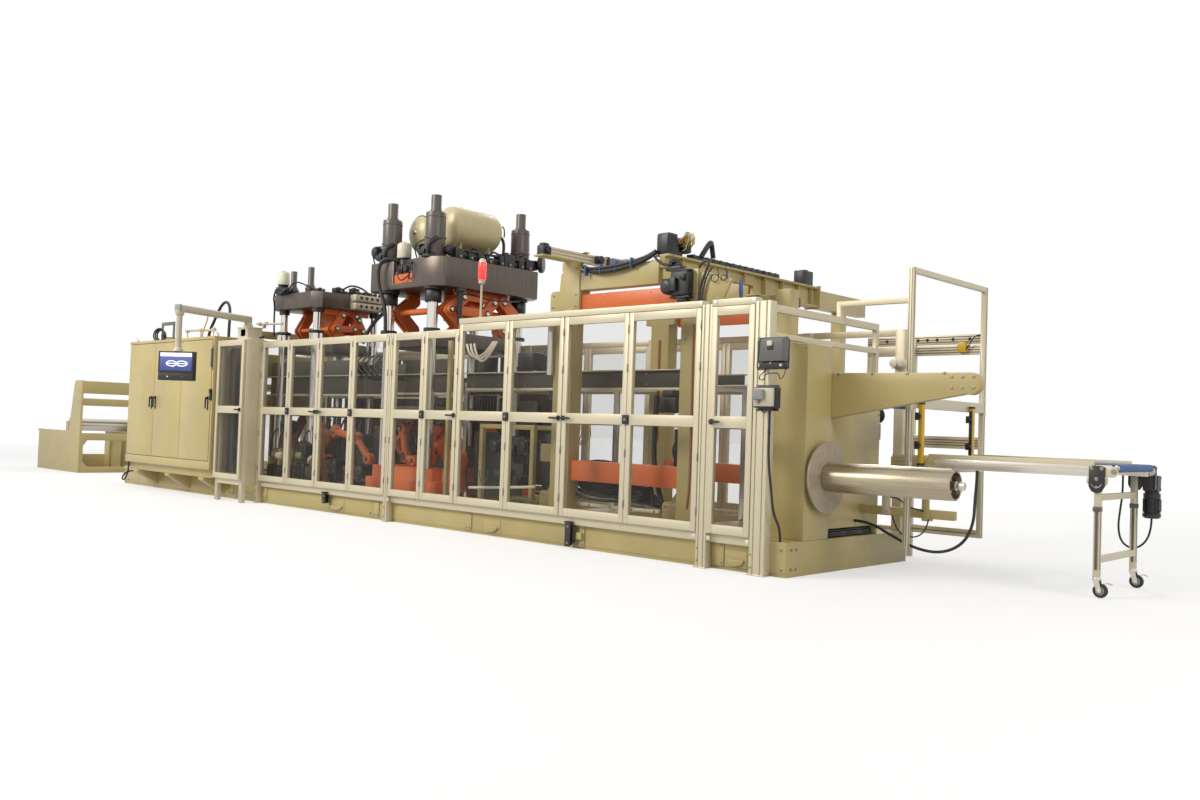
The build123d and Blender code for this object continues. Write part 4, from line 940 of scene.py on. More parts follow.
corners = []
for x in (-1.8, 0.93, 1.03, 5.27, 5.42, 5.8):
    for z in (0.25, 2.045 if x < 2.15 else 2.147):
        corners.append(box(about(x, 0.018), (-1.0695, -1.0645), about(z, 0.018), 0.002))
piece("rail_corner_plates", corners, (bright_steel, "guard_profile"))
print("base dressed")

# %% [markdown]
# ## Toggles and columns
# Steel pins show in every joint of the toggles, each in a turned boss. The columns are chromed, with
# dark octagonal nuts under the big crown and sleeves on those of the first press.

# %% Build the pins, nuts and columns
bosses, rings, pins = [], [], []


def toggle_pin(x, y, z, way, radius):
    """A boss, a dark ring and a bright pin end on the face of a link."""
    bosses.append(lathe((x, y, z), (x + 0.006 * way, y, z), knob(radius * 1.42, radius * 1.35)))
    rings.append(lathe((x, y, z), (x + 0.014 * way, y, z), knob(radius, radius * 0.9, 0.8), 28))
    pins.append(
        lathe((x + 0.012 * way, y, z), (x + 0.0165 * way, y, z), knob(radius * 0.62, radius * 0.5), 20))
    pins.append(
        box(sorted((x + 0.014 * way, x + 0.0175 * way)), about(y, radius * 0.8), about(z, radius * 0.14),
            0.001))


for side in (-1, 1):
    for x, y, z, way, radius in (
            (-1.488, 0.103, 2.489, 1, 0.034), (-1.488, 0.103, 2.177, 1, 0.034),
            (1.282, 0.3, 2.536, 1, 0.04), (1.282, 0.3, 2.2, 1, 0.04), (-2.422, 0.103, 2.489, -1, 0.034),
            (-2.422, 0.214, 2.3, -1, 0.034), (-2.422, 0.103, 2.177, -1, 0.034),
            (0.238, 0.3, 2.536, -1, 0.04), (0.238, 0.5, 2.378, -1, 0.04), (0.238, 0.3, 2.2, -1, 0.04)):
        toggle_pin(x, side * y, z, way, radius)
for x, y, z, radius in (
        (-1.452, -0.214, 2.3, 0.034), (-1.452, 0.06, 2.31, 0.034), (-1.488, 0.214, 2.3, 0.034),
        (-1.488, 0.15, 2.44, 0.034), (1.318, -0.5, 2.378, 0.038), (1.318, 0.012, 2.372, 0.038),
        (1.282, 0.5, 2.378, 0.04), (1.282, 0.15, 2.52, 0.038)):
    toggle_pin(x, y, z, 1, radius)
piece("toggle_bosses", bosses, ORANGE)
piece("toggle_rings", rings, BLACK)
piece("toggle_pins", pins, BRIGHT)
first_press_columns = [(x, y) for x in (-2.39, -1.57) for y in (-0.445, 0.445)]
forming_press_columns = [(x, y) for x in (0.325, 1.145) for y in (-0.64, 0.64)]
columns, nuts, sleeves = [], [], []
for x, y in first_press_columns:
    columns.append(lathe((x, y, 0.48), (x, y, 2.56), stepped(0.06, 0.8645, 0.048, 0.866), 40))
    sleeves += [lathe((x, y, 2.11), (x, y, 2.225), drum(0.094, 0.09, 0.086, 0.04), 40)]
    nuts += [lathe((x, y, 2.225), (x, y, 2.262), drum(0.086, 0.098, 0.09), 40),
             lathe((x, y, 2.5), (x, y, 2.56), [(0, 0.06), (0.1, 0.068), (1, 0.068)], 32)]
for x, y in forming_press_columns:
    columns.append(lathe((x, y, 0.59), (x, y, 2.62), [(0, 0.06), (1, 0.06)], 40))
    nuts += [bar((x, y, 2.455), (x, y, 2.585), 0.096, 0.008, 8),
             lathe((x, y, 2.585), (x, y, 2.62), [(0, 0.096), (0.3, 0.112), (1, 0.112)], 40),
             lathe((x, y, 2.12), (x, y, 2.16), drum(0.09, 0.094, 0.088), 40)]
    for place in around((x, y, 2.448), 0.078, turns(8, 0.5)):
        nuts.append(bar(place, (place[0], place[1], 2.456), 0.009, 0, 8))
piece("columns", columns, CHROME, replaces=("press_tie_bars",))
piece("column_sleeves", sleeves, CHROME)
piece("column_nuts", nuts, BLACK, replaces=("press_tie_bars",))
print("toggles and columns built")

# %% [markdown]
# ## On the crowns
# Oil units, valve blocks, the port manifold, lift cylinders with their elbows, tank fittings and hoses
# crowd the tops of the two presses.

# %% Build the oil units, the manifold and the pipework
first_top, big_top = 2.77, 2.95
black_parts, dark_tubes, bright_parts = [], [], []
# Pumps and motors under the white reservoirs
black_parts += [
    box((0.55, 0.86), (-0.735, -0.575), (2.79, 2.9), 0.01, 3),
    lathe((0.615, -0.66, 2.9), (0.615, -0.66, 2.985), drum(0.072, 0.06, 0.076, 0.2)),
    lathe((0.77, -0.74, 2.845), (0.77, -0.772, 2.845), knob(0.04, 0.032), 24),
    box((0.7, 0.84), (-0.72, -0.6), (2.9, 2.955), 0.008),
    box((0.64, 0.69), (-0.752, -0.735), (2.8, 2.88), 0.006)]
black_parts += [
    box((-2.4, -2.26), (-0.585, -0.445), (first_top, 2.87), 0.008),
    lathe((-2.33, -0.515, 2.87), (-2.33, -0.515, 2.9), [(0, 0.06), (1, 0.074)]),
    box((-2.26, -2.15), (-0.565, -0.465), (first_top, 2.85), 0.008),
    lathe((-2.2, -0.565, 2.81), (-2.2, -0.6, 2.81), knob(0.034, 0.026, 0.8), 24),
    lathe((-2.1, -0.515, 2.815), (-2.15, -0.515, 2.815), [(0, 0.02), (0.3, 0.03), (1, 0.03)], 24)]
bright_parts += bolts(
    [(x, -0.735, 2.808) for x in (0.565, 0.6, 0.845)] + [(-2.385, -0.585, 2.785), (-2.275, -0.585, 2.785)],
    FRONT, 0.007)
# Guide rod below the big crown
black_parts.append(
    lathe((1.358, -0.428, 2.21), (1.358, -0.428, 2.62),
          [(0, 0.02), (0.03, 0.024), (0.1, 0.026), (0.895, 0.037), (0.9, 0.066), (1, 0.066)], 32))
bright_parts += bolts(around((1.358, -0.428, 2.579), 0.05, (0.4, 1.97, 3.54, 5.11)), DOWN, 0.006)
# Two-row manifold on the first crown
blocks = [box((-1.46, -1.33), (-0.02, 0.52), (2.575, 2.66), 0.005),
          box((-1.46, -1.33), (-0.02, 0.52), (2.685, first_top), 0.005),
          box((-1.46, -1.43), (-0.02, 0.52), (2.66, 2.685), 0.0)]
for y in (0.065, 0.15, 0.235, 0.32, 0.405):
    for z in (2.617, 2.728):
        blocks.append(lathe((-1.33, y, z), (-1.322, y, z), knob(0.034, 0.031), 24))
        black_parts.append(lathe((-1.3225, y, z), (-1.3195, y, z), [(0, 0.024), (1, 0.022)], 20))
    black_parts.append(box((-1.42, -1.37), about(y, 0.022), (first_top, 2.812), 0.004))
    bright_parts.append(bar((-1.395, y, 2.812), (-1.395, y, 2.822), 0.012))
piece("port_manifold", blocks, (guard_aluminium, "steel"), replaces=("crown_hydraulics",))
for y, z in ((0.455, 2.728), (0.455, 2.617)):
    bright_parts.append(lathe((-1.33, y, z), (-1.285, y, z), stepped(0.03, 0.4, 0.022, 0.42), 20))
dark_tubes += [
    pipe([(-1.29, 0.455, 2.617), (-1.255, 0.43, 2.6), (-1.3, 0.3, 2.47), (-1.35, 0.2, 2.3),
          (-1.37, 0.14, 2.13)], 0.026, 4),
    pipe([(-1.29, 0.455, 2.728), (-1.22, 0.46, 2.73), (-1.2, 0.52, 2.66), (-1.3, 0.53, 2.5),
          (-1.36, 0.52, 2.3)], 0.014)]
# Valves and lines along the top of the first crown
for x, y, size, height in (
        (-1.6, -0.12, 0.1, 0.085), (-1.56, 0.1, 0.085, 0.1), (-1.6, 0.32, 0.1, 0.07),
        (-1.82, -0.3, 0.09, 0.06), (-1.95, 0.2, 0.16, 0.09), (-2.22, 0.22, 0.18, 0.07),
        (-1.66, -0.36, 0.08, 0.055), (-2.15, -0.12, 0.1, 0.08)):
    black_parts.append(
        box(about(x, size / 2), about(y, size * 0.7), (first_top, first_top + height), 0.006))
    black_parts.append(
        lathe((x, y, first_top + height), (x, y, 2.785 + height), knob(size * 0.32, size * 0.2, 0.6), 20))
    bright_parts.append(
        bar((x + size / 2, y, 2.785 + height / 3), (x + size / 2 + 0.03, y, 2.785 + height / 3), 0.012,
            0.001, 12))
dark_tubes += [
    pipe([(-1.6, -0.05, 2.84), (-1.55, 0.0, 2.9), (-1.5, 0.1, 2.9), (-1.52, 0.26, 2.86),
          (-1.58, 0.32, 2.84)], 0.012),
    pipe([(-2.2, -0.5, 2.86), (-2.05, -0.52, 2.93), (-1.92, -0.46, 2.9), (-1.86, -0.36, 2.84),
          (-1.82, -0.3, 2.82)], 0.01),
    pipe([(-2.35, -0.6, 2.84), (-2.3, -0.64, 2.76), (-2.22, -0.64, 2.74), (-2.16, -0.6, 2.8),
          (-2.14, -0.56, 2.84)], 0.009),
    pipe([(-2.4, -0.58, 2.84), (-2.44, -0.6, 2.74), (-2.42, -0.58, 2.62), (-2.46, -0.56, 2.4),
          (-2.46, -0.55, 2.2)], 0.012),
    pipe([(-1.95, 0.05, 2.83), (-1.8, 0.02, 2.86), (-1.7, -0.04, 2.85), (-1.62, -0.06, 2.82)], 0.012),
    pipe([(-2.43, -0.3, 2.8), (-2.3, -0.2, 2.83), (-2.2, -0.14, 2.85), (-2.13, -0.12, 2.85)], 0.012),
    pipe([(-1.99, -0.3, 2.8), (-1.92, -0.34, 2.83), (-1.86, -0.32, 2.83)], 0.012)]
dark_tubes += [
    pipe([(-1.58, y, 2.795), (-1.5, y, 2.79), (-1.44, y, 2.79)], 0.011) for y in (0.06, 0.16, 0.3)]
# Feet of the lift cylinders: flange, elbow, barrel and a thin line round each one
for x, y in forming_press_columns:
    black_parts += [
        lathe((x, y, big_top), (x, y, 2.992), stepped(0.142, 0.75, 0.122, 0.8), 40),
        lathe((x - 0.215, y - 0.045, 3.055), (x - 0.06, y - 0.02, 3.055),
              [(0, 0.06), (0.1, 0.066), (0.3, 0.066), (0.32, 0.048), (1, 0.048)], 28),
        lathe((x + 0.07, y + 0.07, 3.035), (x + 0.185, y + 0.1, 3.035),
              [(0, 0.044), (0.6, 0.044), (0.62, 0.062), (0.95, 0.062), (1, 0.056)], 28)]
    black_parts.append(box((x - 0.12, x - 0.02), (y - 0.14, y - 0.1), (2.985, 3.04), 0.006))
    dark_tubes.append(
        pipe([(x + 0.05, y - 0.13, 2.99), (x + 0.1, y - 0.17, 3.06), (x + 0.12, y - 0.12, 3.14),
              (x + 0.08, y - 0.02, 3.16)], 0.026, 4))
    ring = [(x + 0.121 * math.cos(a), y + 0.121 * math.sin(a), 3.16 + 0.02 * math.sin(2 * a))
            for a in turns(12, 0, 1)]
    dark_tubes.append(pipe(ring, 0.006))
    dark_tubes.append(
        pipe([(x - 0.13, y - 0.05, 3.16), (x - 0.2, y - 0.1, 3.14), (x - 0.25, y - 0.1, 3.05),
              (x - 0.22, y - 0.08, 2.96)], 0.008))
    bright_parts += bolts(around((x, y, 2.982), 0.132, turns(8, 0.5)), UP, 0.006)
black_parts += [
    lathe((1.3, 0.8, 3.06), (1.36, 0.84, 3.06), [(0, 0.07), (0.3, 0.105), (0.8, 0.105), (1, 0.09)], 36),
    lathe((0.075, -0.7, 3.09), (0.15, -0.68, 3.09), drum(0.07, 0.078, 0.06, 0.2), 32)]
# Pipework along the discharge edge of the big crown
for z, radius in ((3.0, 0.022), (3.055, 0.016), (2.975, 0.012)):
    dark_tubes.append(pipe([(1.335, -0.5, z), (1.335, 0.0, z), (1.335, 0.62, z)], radius))
for y, length, height in (
        (-0.46, 0.1, 0.11), (-0.3, 0.07, 0.08), (-0.16, 0.05, 0.1), (-0.02, 0.12, 0.07), (0.16, 0.06, 0.12),
        (0.28, 0.16, 0.15), (0.47, 0.08, 0.1), (0.6, 0.1, 0.13)):
    black_parts.append(box((1.255, 1.375), about(y, length / 2), (big_top, big_top + height), 0.006))
    black_parts.append(
        lathe((1.315, y, big_top + height), (1.315, y, 2.975 + height), knob(0.026, 0.018), 20))
    bright_parts.append(bar((1.375, y, 2.975), (1.392, y, 2.975), 0.014, 0.001, 8))
for y in (-0.22, 0.08, 0.38):
    black_parts.append(box((1.17, 1.25), about(y, 0.05), (big_top, 3.03), 0.006))
    dark_tubes.append(
        pipe([(1.21, y, 3.03), (1.22, y + 0.02, 3.1), (1.28, y + 0.06, 3.12), (1.32, y + 0.09, 3.06)],
             0.012))
# Lines along the feed side and the operator side of the big crown
dark_tubes += [
    pipe([(0.06, -0.58, 2.97), (0.06, 0.0, 2.97), (0.06, 0.6, 2.97)], 0.02),
    pipe([(0.45, -0.6, 2.968), (0.8, -0.56, 2.968), (1.02, -0.56, 2.968)], 0.014)]
black_parts += [box((0.0, 0.12), about(y, 0.05), (big_top, 3.03), 0.006) for y in (-0.35, 0.0, 0.35)]
# Hoses that drop past the crown
dark_tubes += [
    pipe([(0.55, -0.69, 2.96), (0.46, -0.78, 3.0), (0.36, -0.83, 2.93), (0.335, -0.83, 2.78),
          (0.37, -0.82, 2.62), (0.45, -0.8, 2.45), (0.47, -0.79, 2.25), (0.47, -0.79, 2.08)], 0.021, 4),
    pipe([(0.84, -0.7, 2.92), (0.9, -0.78, 2.92), (0.89, -0.79, 2.8), (0.86, -0.77, 2.72),
          (0.8, -0.74, 2.74)], 0.009),
    pipe([(0.66, -0.75, 2.84), (0.66, -0.8, 2.8), (0.72, -0.8, 2.7), (0.8, -0.78, 2.72),
          (0.83, -0.74, 2.79)], 0.008),
    pipe([(1.2, -0.3, 2.6), (1.4, -0.2, 2.55), (1.44, -0.05, 2.52), (1.42, 0.3, 2.54), (1.3, 0.52, 2.58)],
         0.01)]
piece("crown_black_fittings", black_parts, BLACK, replaces=("crown_hydraulics",))
piece("crown_hoses", dark_tubes, RUBBER)
piece("crown_bright_fittings", bright_parts, BOLT)
print("crowns dressed")

# %% [markdown]
# ## Air tanks and reservoirs
# The tanks are spun steel with domed ends, a weld line by each dome, saddles, plugs and hoses.

# %% Build the tanks and the white reservoirs
def dome_steps(radius):
    """Points of a domed tank, from its far left to its far right end."""
    shares = []
    for index in range(9):
        angle = math.pi / 2 * index / 8
        shares.append((0.13 * (1 - math.cos(angle)), math.sin(angle)))
    shares += [(1 - share, part) for share, part in reversed(shares)]
    return [(share, max(part * radius, 0.001)) for share, part in shares]


shells, saddles, fittings = [], [], []
for x, middle, size in ((0.455, 3.345, 0.209), (1.0, 3.372, 0.2304)):
    shells.append(lathe((x, -0.42, middle), (x, 0.345, middle), dome_steps(size), 64))
    for y in (-0.3, 0.225):
        shells.append(
            lathe((x, y, middle), (x, y + 0.008, middle), [(0, size), (0.5, size + 0.002), (1, size)], 64))
    for y in (-0.26, 0.16):
        saddles.append(
            slab([(x - 0.13, 2.99), (x + 0.13, 2.99), (x + 0.13, 3.19), (x + 0.07, 3.155),
                  (x - 0.07, 3.155), (x - 0.13, 3.19)], 1, y, y + 0.012, 0.002))
        saddles.append(box(about(x, 0.006), (y + 0.012, y + 0.05), (2.99, 3.15), 0.002))
        saddles.append(box(about(x, 0.15), (y - 0.015, y + 0.065), (2.978, 2.992), 0.003))
    fittings += [
        lathe((x, y, middle + size - 0.003), (x, y, middle + size + 0.022), stepped(0.02, 0.5, 0.013, 0.55),
              20) for y in (-0.17, 0.13)]
    fittings += [
        lathe((x, 0.343, middle), (x, 0.372, middle), stepped(0.03, 0.4, 0.02, 0.45), 20),
        lathe((x, -0.446, middle), (x, -0.418, middle), [(0, 0.022), (1, 0.03)], 20)]
for y in (-0.27, 0.15):
    saddles.append(box((0.18, 1.28), (y, y + 0.07), (2.95, 2.98), 0.004))
piece("tank_shells", shells, PALE_CREAM, replaces=("air_tanks",))
piece("tank_saddles", saddles, PALE_CREAM, replaces=("air_tanks",))
piece("tank_fittings", fittings, BRIGHT)
tank_hoses = [
    pipe([(1.0, 0.372, 3.372), (1.0, 0.43, 3.38), (1.02, 0.485, 3.32), (1.03, 0.48, 3.18),
          (1.06, 0.42, 3.05), (1.1, 0.36, 2.96)], 0.018, 4),
    pipe([(0.455, 0.372, 3.345), (0.455, 0.42, 3.35), (0.47, 0.46, 3.25), (0.5, 0.44, 3.05),
          (0.52, 0.4, 2.96)], 0.016, 4),
    pipe([(1.03, 0.4, 3.46), (1.04, 0.44, 3.5), (1.05, 0.47, 3.44), (1.05, 0.46, 3.36)], 0.008)]
tank_hoses.append(pipe(around((0.455, -0.335, 3.345), 0.2125, turns(24, 0, 1), 1), 0.005))
piece("tank_hoses", tank_hoses, RUBBER)
pots, rims = [], []
for x, y, z in ((0.6, -0.66, 2.985), (-2.33, -0.515, 2.9)):
    pots.append(
        lathe((x, y, z), (x, y, z + 0.18),
              [(0, 0.078), (0.03, 0.082), (0.86, 0.082), (0.93, 0.074), (1, 0.058)], 40))
    rims.append(lathe((x, y, z + 0.176), (x, y, z + 0.19), knob(0.026, 0.02), 20))
piece("reservoir_pots", pots, WHITE_PLASTIC, replaces=("oil_reservoirs",))
piece("reservoir_caps", rims, PLASTIC)
# Lines, caps and seals on the rams
seals = []
for x, y in forming_press_columns:
    seals += [lathe((x, y, 3.1), (x, y, 3.112), drum(0.113, 0.117, 0.113, 0.3), 40),
              lathe((x, y, 3.4), (x, y, 3.412), drum(0.113, 0.117, 0.113, 0.3), 40),
              lathe((x, y, 3.462), (x, y, 3.486), [(0, 0.074), (0.8, 0.07), (1, 0.062)], 32)]
piece("ram_seals", seals, DARK)
print("tanks built")

# %% [markdown]
# ## Stacking station
# A slotted aluminium linear drive reaches out over the doors from its stem. The gantry carries the
# terminal box with its loose wires and a long black cable tray, and the gearmotor hangs on the column.

# %% Build the linear drive
rail_steps = (
    (3.385, 3.475, 2.706, 2.722, 0.002), (3.393, 3.467, 2.722, 2.736, 0.001),
    (3.385, 3.475, 2.736, 2.756, 0.002), (3.393, 3.467, 2.756, 2.768, 0.001),
    (3.385, 3.475, 2.768, 2.79, 0.002), (3.4, 3.416, 2.79, 2.794, 0.001), (3.444, 3.46, 2.79, 2.794, 0.001))
rails = [box((left, right), (-1.06, -0.29), (low, high), edge)
         for left, right, low, high, edge in rail_steps]
piece("linear_rail", rails, ALUMINIUM, replaces=("stacker_drives",))
ends = [box((3.385, 3.475), (-1.165, -1.062), (2.706, 2.798), 0.008, 3),
        lathe((3.475, -1.11, 2.755), (3.5, -1.11, 2.755), knob(0.03, 0.024, 0.8), 24),
        box((3.4, 3.46), (-1.15, -1.075), (2.798, 2.822), 0.006),
        box((3.375, 3.485), (-0.295, -0.262), (2.7, 2.806), 0.005),
        lathe((3.5, -0.42, 2.752), (3.53, -0.42, 2.752), knob(0.04, 0.034, 0.8), 28),
        box((3.474, 3.502), (-0.47, -0.37), (2.712, 2.79), 0.005)]
piece("linear_ends", ends, BLACK, replaces=("stacker_drives",))
ribs = [box((3.392, 3.492), (-0.262, 0.055), (2.704, 2.796), 0.012, 3)]
for index in range(9):
    y = -0.235 + index * 0.024
    ribs.append(box((3.386, 3.498), (y, y + 0.01), (2.699, 2.802), 0.004))
ribs += [box((3.41, 3.47), (0.0, 0.05), (2.796, 2.828), 0.006),
         lathe((3.44, 0.055, 2.75), (3.44, 0.075, 2.75), knob(0.04, 0.03), 24)]
piece("linear_servo", ribs, GREY_PLASTIC, replaces=("stacker_drives",))
slide = [box((3.372, 3.498), (-0.64, -0.56), (2.794, 2.81), 0.003),
         box((3.366, 3.385), (-0.63, -0.57), (2.72, 2.8), 0.003)]
piece("linear_slide", slide, BRIGHT)

# %% Build the terminal box, the cable tray and the gearmotor
gantry_top = 2.665
dark = [box((4.522, 4.66), (-0.764, -0.64), (gantry_top, gantry_top + 0.19), 0.012, 3),
        box((4.53, 4.652), (-0.774, -0.764), (gantry_top + 0.02, gantry_top + 0.17), 0.006)]
for index in range(7):
    z = gantry_top + 0.028 + index * 0.021
    dark.append(box((4.516, 4.666), (-0.758, -0.65), (z, z + 0.009), 0.003))
dark += [box((4.54, 4.64), (-0.638, -0.6), (gantry_top, gantry_top + 0.15), 0.006),
         box((4.545, 4.635), (-0.52, -0.43), (gantry_top + 0.045, gantry_top + 0.185), 0.008),
         box((4.56, 4.62), (-0.6, -0.52), (gantry_top, gantry_top + 0.12), 0.004),
         box((4.642, 4.656), (-0.56, -0.44), (gantry_top + 0.05, gantry_top + 0.16), 0.003),
         box((4.53, 4.65), (1.43, 1.62), (gantry_top, gantry_top + 0.15), 0.01),
         lathe((4.59, 1.525, gantry_top + 0.15), (4.59, 1.525, gantry_top + 0.16), [(0, 0.05), (1, 0.04)],
               24)]
# Cable tray: a shallow channel with lids between its knuckles
for index in range(14):
    y = -0.43 + index * 0.101
    dark += [box((4.592, 4.66), (y, y + 0.096), (gantry_top, gantry_top + 0.04), 0.004),
             box((4.59, 4.662), (y + 0.03, y + 0.036), (gantry_top + 0.036, gantry_top + 0.0445), 0.001)]
for y in (-0.42, 0.15, 0.7):
    dark.append(
        lathe((4.662, y, gantry_top + 0.022), (4.674, y, gantry_top + 0.022), [(0, 0.01), (1, 0.008)], 12))
# Gearmotor: square gearbox, round finned motor facing the operator and the shaft housing below
motor_x, motor_z = 4.768, 2.345
dark += [box((4.785, 4.975), (-0.886, -0.79), (2.26, 2.48), 0.02, 3),
         box((4.77, 4.985), (-0.87, -0.8), (2.245, 2.262), 0.004),
         box((4.775, 4.98), (-0.87, -0.8), (2.478, 2.492), 0.004),
         lathe((motor_x, -0.93, motor_z), (motor_x, -0.79, motor_z),
               [(0, 0.044), (0.06, 0.06), (0.14, 0.066), (0.2, 0.066), (0.22, 0.06), (1, 0.06)], 40),
         lathe((motor_x, -0.936, motor_z), (motor_x, -0.928, motor_z),
               [(0, 0.02), (0.5, 0.022), (1, 0.044)], 24),
         lathe((4.895, -0.835, 2.16), (4.895, -0.835, 2.247),
               [(0, 0.03), (0.3, 0.034), (0.35, 0.046), (1, 0.05)], 32),
         box((4.7, 4.87), (-0.85, -0.79), (2.492, 2.53), 0.006),
         box((4.72, 4.84), (-0.84, -0.79), (2.53, 2.56), 0.006),
         lathe((4.78, -0.82, 2.56), (4.78, -0.82, 2.6), knob(0.05, 0.03, 0.6), 28),
         box((4.8, 4.87), (-0.925, -0.886), (2.3, 2.42), 0.01),
         lathe((4.935, -0.892, 2.42), (4.935, -0.912, 2.42), knob(0.03, 0.022), 24)]
for index in range(5):
    dark.append(
        lathe((motor_x, -0.905 + index * 0.02, motor_z), (motor_x, -0.898 + index * 0.02, motor_z),
              drum(0.066, 0.07, 0.066, 0.2), 36))
piece("stacker_dark_drives", dark, BLACK, replaces=("stacker_drives",))
random.seed(11)
strands = {
    "yellow_wires": (YELLOW, []),
    "green_wires": ((enamel("wire_green", (0.06, 0.24, 0.05), 0.4, 0.0), "guard_profile"), []),
    "pale_wires": (WHITE_PLASTIC, []), "orange_wires": (ORANGE, [])}
for index in range(22):
    wires = list(strands.values())[index % 4][1]
    start = Vector(
        (4.645 + random.uniform(-0.01, 0.015), -0.62 + random.uniform(-0.02, 0.16),
         gantry_top + random.uniform(0.1, 0.18)))
    end = Vector(
        (4.648 + random.uniform(-0.01, 0.01), -0.47 + random.uniform(-0.12, 0.04),
         gantry_top + random.uniform(0.05, 0.17)))
    crest = gantry_top + random.uniform(0.17, 0.235)
    path = [start, start + Vector((0.03, 0.0, 0.02)),
            Vector((start.x + 0.04, start.y * 0.7 + end.y * 0.3, crest)),
            Vector((end.x + 0.05, start.y * 0.3 + end.y * 0.7, crest - random.uniform(0.0, 0.05))),
            end + Vector((0.04, 0, -0.01)), end]
    wires.append(pipe([tuple(point) for point in path], 0.0035, 2))
for name, (finish, wires) in strands.items():
    piece(name, wires, finish)
harness = [
    pipe([(3.56, -0.7, 2.64), (3.66, -0.76, 2.61), (3.74, -0.8, 2.575), (3.9, -0.815, 2.555),
          (4.12, -0.815, 2.565), (4.32, -0.805, 2.6), (4.46, -0.79, 2.645), (4.53, -0.78, 2.69)], 0.024, 4),
    pipe([(3.52, -0.69, 2.665), (3.6, -0.77, 2.64), (3.7, -0.815, 2.6), (3.9, -0.835, 2.585),
          (4.15, -0.835, 2.595), (4.34, -0.82, 2.625), (4.47, -0.8, 2.66), (4.53, -0.785, 2.7)], 0.014),
    pipe([(3.48, -0.64, 2.7), (3.53, -0.7, 2.66), (3.6, -0.76, 2.62), (3.78, -0.8, 2.59),
          (4.0, -0.8, 2.585)], 0.01),
    pipe([(4.66, -0.3, 2.7), (4.7, -0.27, 2.79), (4.69, -0.2, 2.85), (4.64, -0.12, 2.83),
          (4.63, -0.08, 2.72)], 0.024, 4),
    pipe([(4.5, -0.78, 2.66), (4.6, -0.83, 2.58), (4.72, -0.86, 2.54), (4.78, -0.85, 2.55)], 0.012),
    pipe([(5.04, -0.8, 2.19), (5.05, -0.802, 2.32), (5.1, -0.8, 2.45), (5.14, -0.8, 2.52),
          (5.12, -0.79, 2.56), (5.04, -0.79, 2.54), (5.03, -0.79, 2.5)], 0.011),
    pipe([(5.06, -0.79, 2.19), (5.075, -0.79, 2.34), (5.13, -0.785, 2.47), (5.17, -0.785, 2.5)], 0.008)]
for centre, radius in (((5.19, -0.778, 2.405), 0.042), ((5.285, -0.778, 2.4), 0.03)):
    loop = [(centre[0] + radius * math.cos(a), centre[1], centre[2] + radius * 0.8 * math.sin(a))
            for a in turns(10)]
    harness.append(
        pipe(loop + [(centre[0] + radius, centre[1], centre[2] + 0.05),
                     (centre[0] + radius * 0.4, centre[1], centre[2] + 0.085)], 0.004, 2))
piece("stacker_harness", harness, RUBBER)
ties = [box((3.7 + 0.19 * index, 3.712 + 0.19 * index), (-0.842, -0.79),
            (2.53 + 0.006 * index ** 1.4, 2.615 + 0.008 * index ** 1.4), 0.006) for index in range(4)]
ties += [box((5.296, 5.312), (-0.772, -0.76), (2.395, 2.47), 0.003),
         lathe((5.355, -0.62, 2.22), (5.345, -0.62, 2.4), [(0, 0.014), (0.5, 0.018), (1, 0.014)], 16)]
piece("blue_ties", ties, BLUE_PLASTIC)
screws = bolts([(x, -0.715, 2.622 - (4.5 - x) * 0.056) for x in (4.14, 4.24, 4.34, 4.44)], UP, 0.014)
screws += bolts([(3.7 + 0.19 * index, -0.76, 2.335) for index in range(6)], FRONT, 0.006)
screws += bolts(
    [(x, -0.79, z)
     for x, z in ((3.25, 2.26), (3.25, 2.37), (3.55, 2.26), (3.55, 2.37), (4.9, 2.2), (4.9, 1.9))], FRONT,
    0.01)
screws += bolts([(x, -0.76, z) for x, z in ((5.06, 2.23), (5.06, 2.42), (5.21, 2.23))], FRONT, 0.009)
screws += bolts([(4.665, y, 2.655) for y in (-0.7, -0.55, 1.2, 1.5)], DISCHARGE, 0.006)
piece("stacker_bolts", screws, BOLT)
rods = [lathe((x, -0.812, 1.6), (x, -0.812, 2.2145), [(0, 0.034), (1, 0.034)], 32) for x in (3.255, 3.48)]
rods += [lathe((x, -0.812, 2.15), (x, -0.812, 2.18), drum(0.044, 0.047, 0.044, 0.2), 32)
         for x in (3.255, 3.48)]
piece("stacker_guide_rods", rods, CHROME)
web = []
for y in (0.75, 1.05, 1.35, 1.6):
    web += [box((4.54, 4.59), (y, y + 0.008), (2.47, 2.65), 0.002),
            box((4.606, 4.655), (y, y + 0.008), (2.47, 2.65), 0.002)]
for y in (-0.55, 0.4):
    web += [box((4.62, 4.66), (y, y + 0.008), (2.548, 2.645), 0.002),
            box((4.52, 4.56), (y, y + 0.008), (2.548, 2.645), 0.002)]
web += [box((4.7, 4.76), (0.94, 1.0), (2.4, 2.47), 0.004),
        box((4.606, 4.7), (0.95, 0.99), (2.452, 2.466), 0.002)]
piece("gantry_stiffeners", web, CREAM)
under = [box((4.64, 4.7), (0.62, 0.76), (2.31, 2.39), 0.008),
         lathe((4.67, 0.69, 2.2), (4.67, 0.69, 2.31), [(0, 0.03), (0.4, 0.04), (1, 0.045)], 24),
         box((4.9, 4.98), (0.8, 0.88), (2.34, 2.44), 0.008),
         lathe((4.94, 0.84, 2.25), (4.94, 0.84, 2.34), [(0, 0.025), (1, 0.035)], 20)]
piece("gantry_under_valves", under, BLACK)
print("stacking station built")

# %% [markdown]
# ## Behind the doors
# The photograph shows a crowded interior: dark side plates under the sheet rails, servo drives, looped
# hoses, cast feet, conduits and frames. The far side is drawn more simply, as it was hidden.

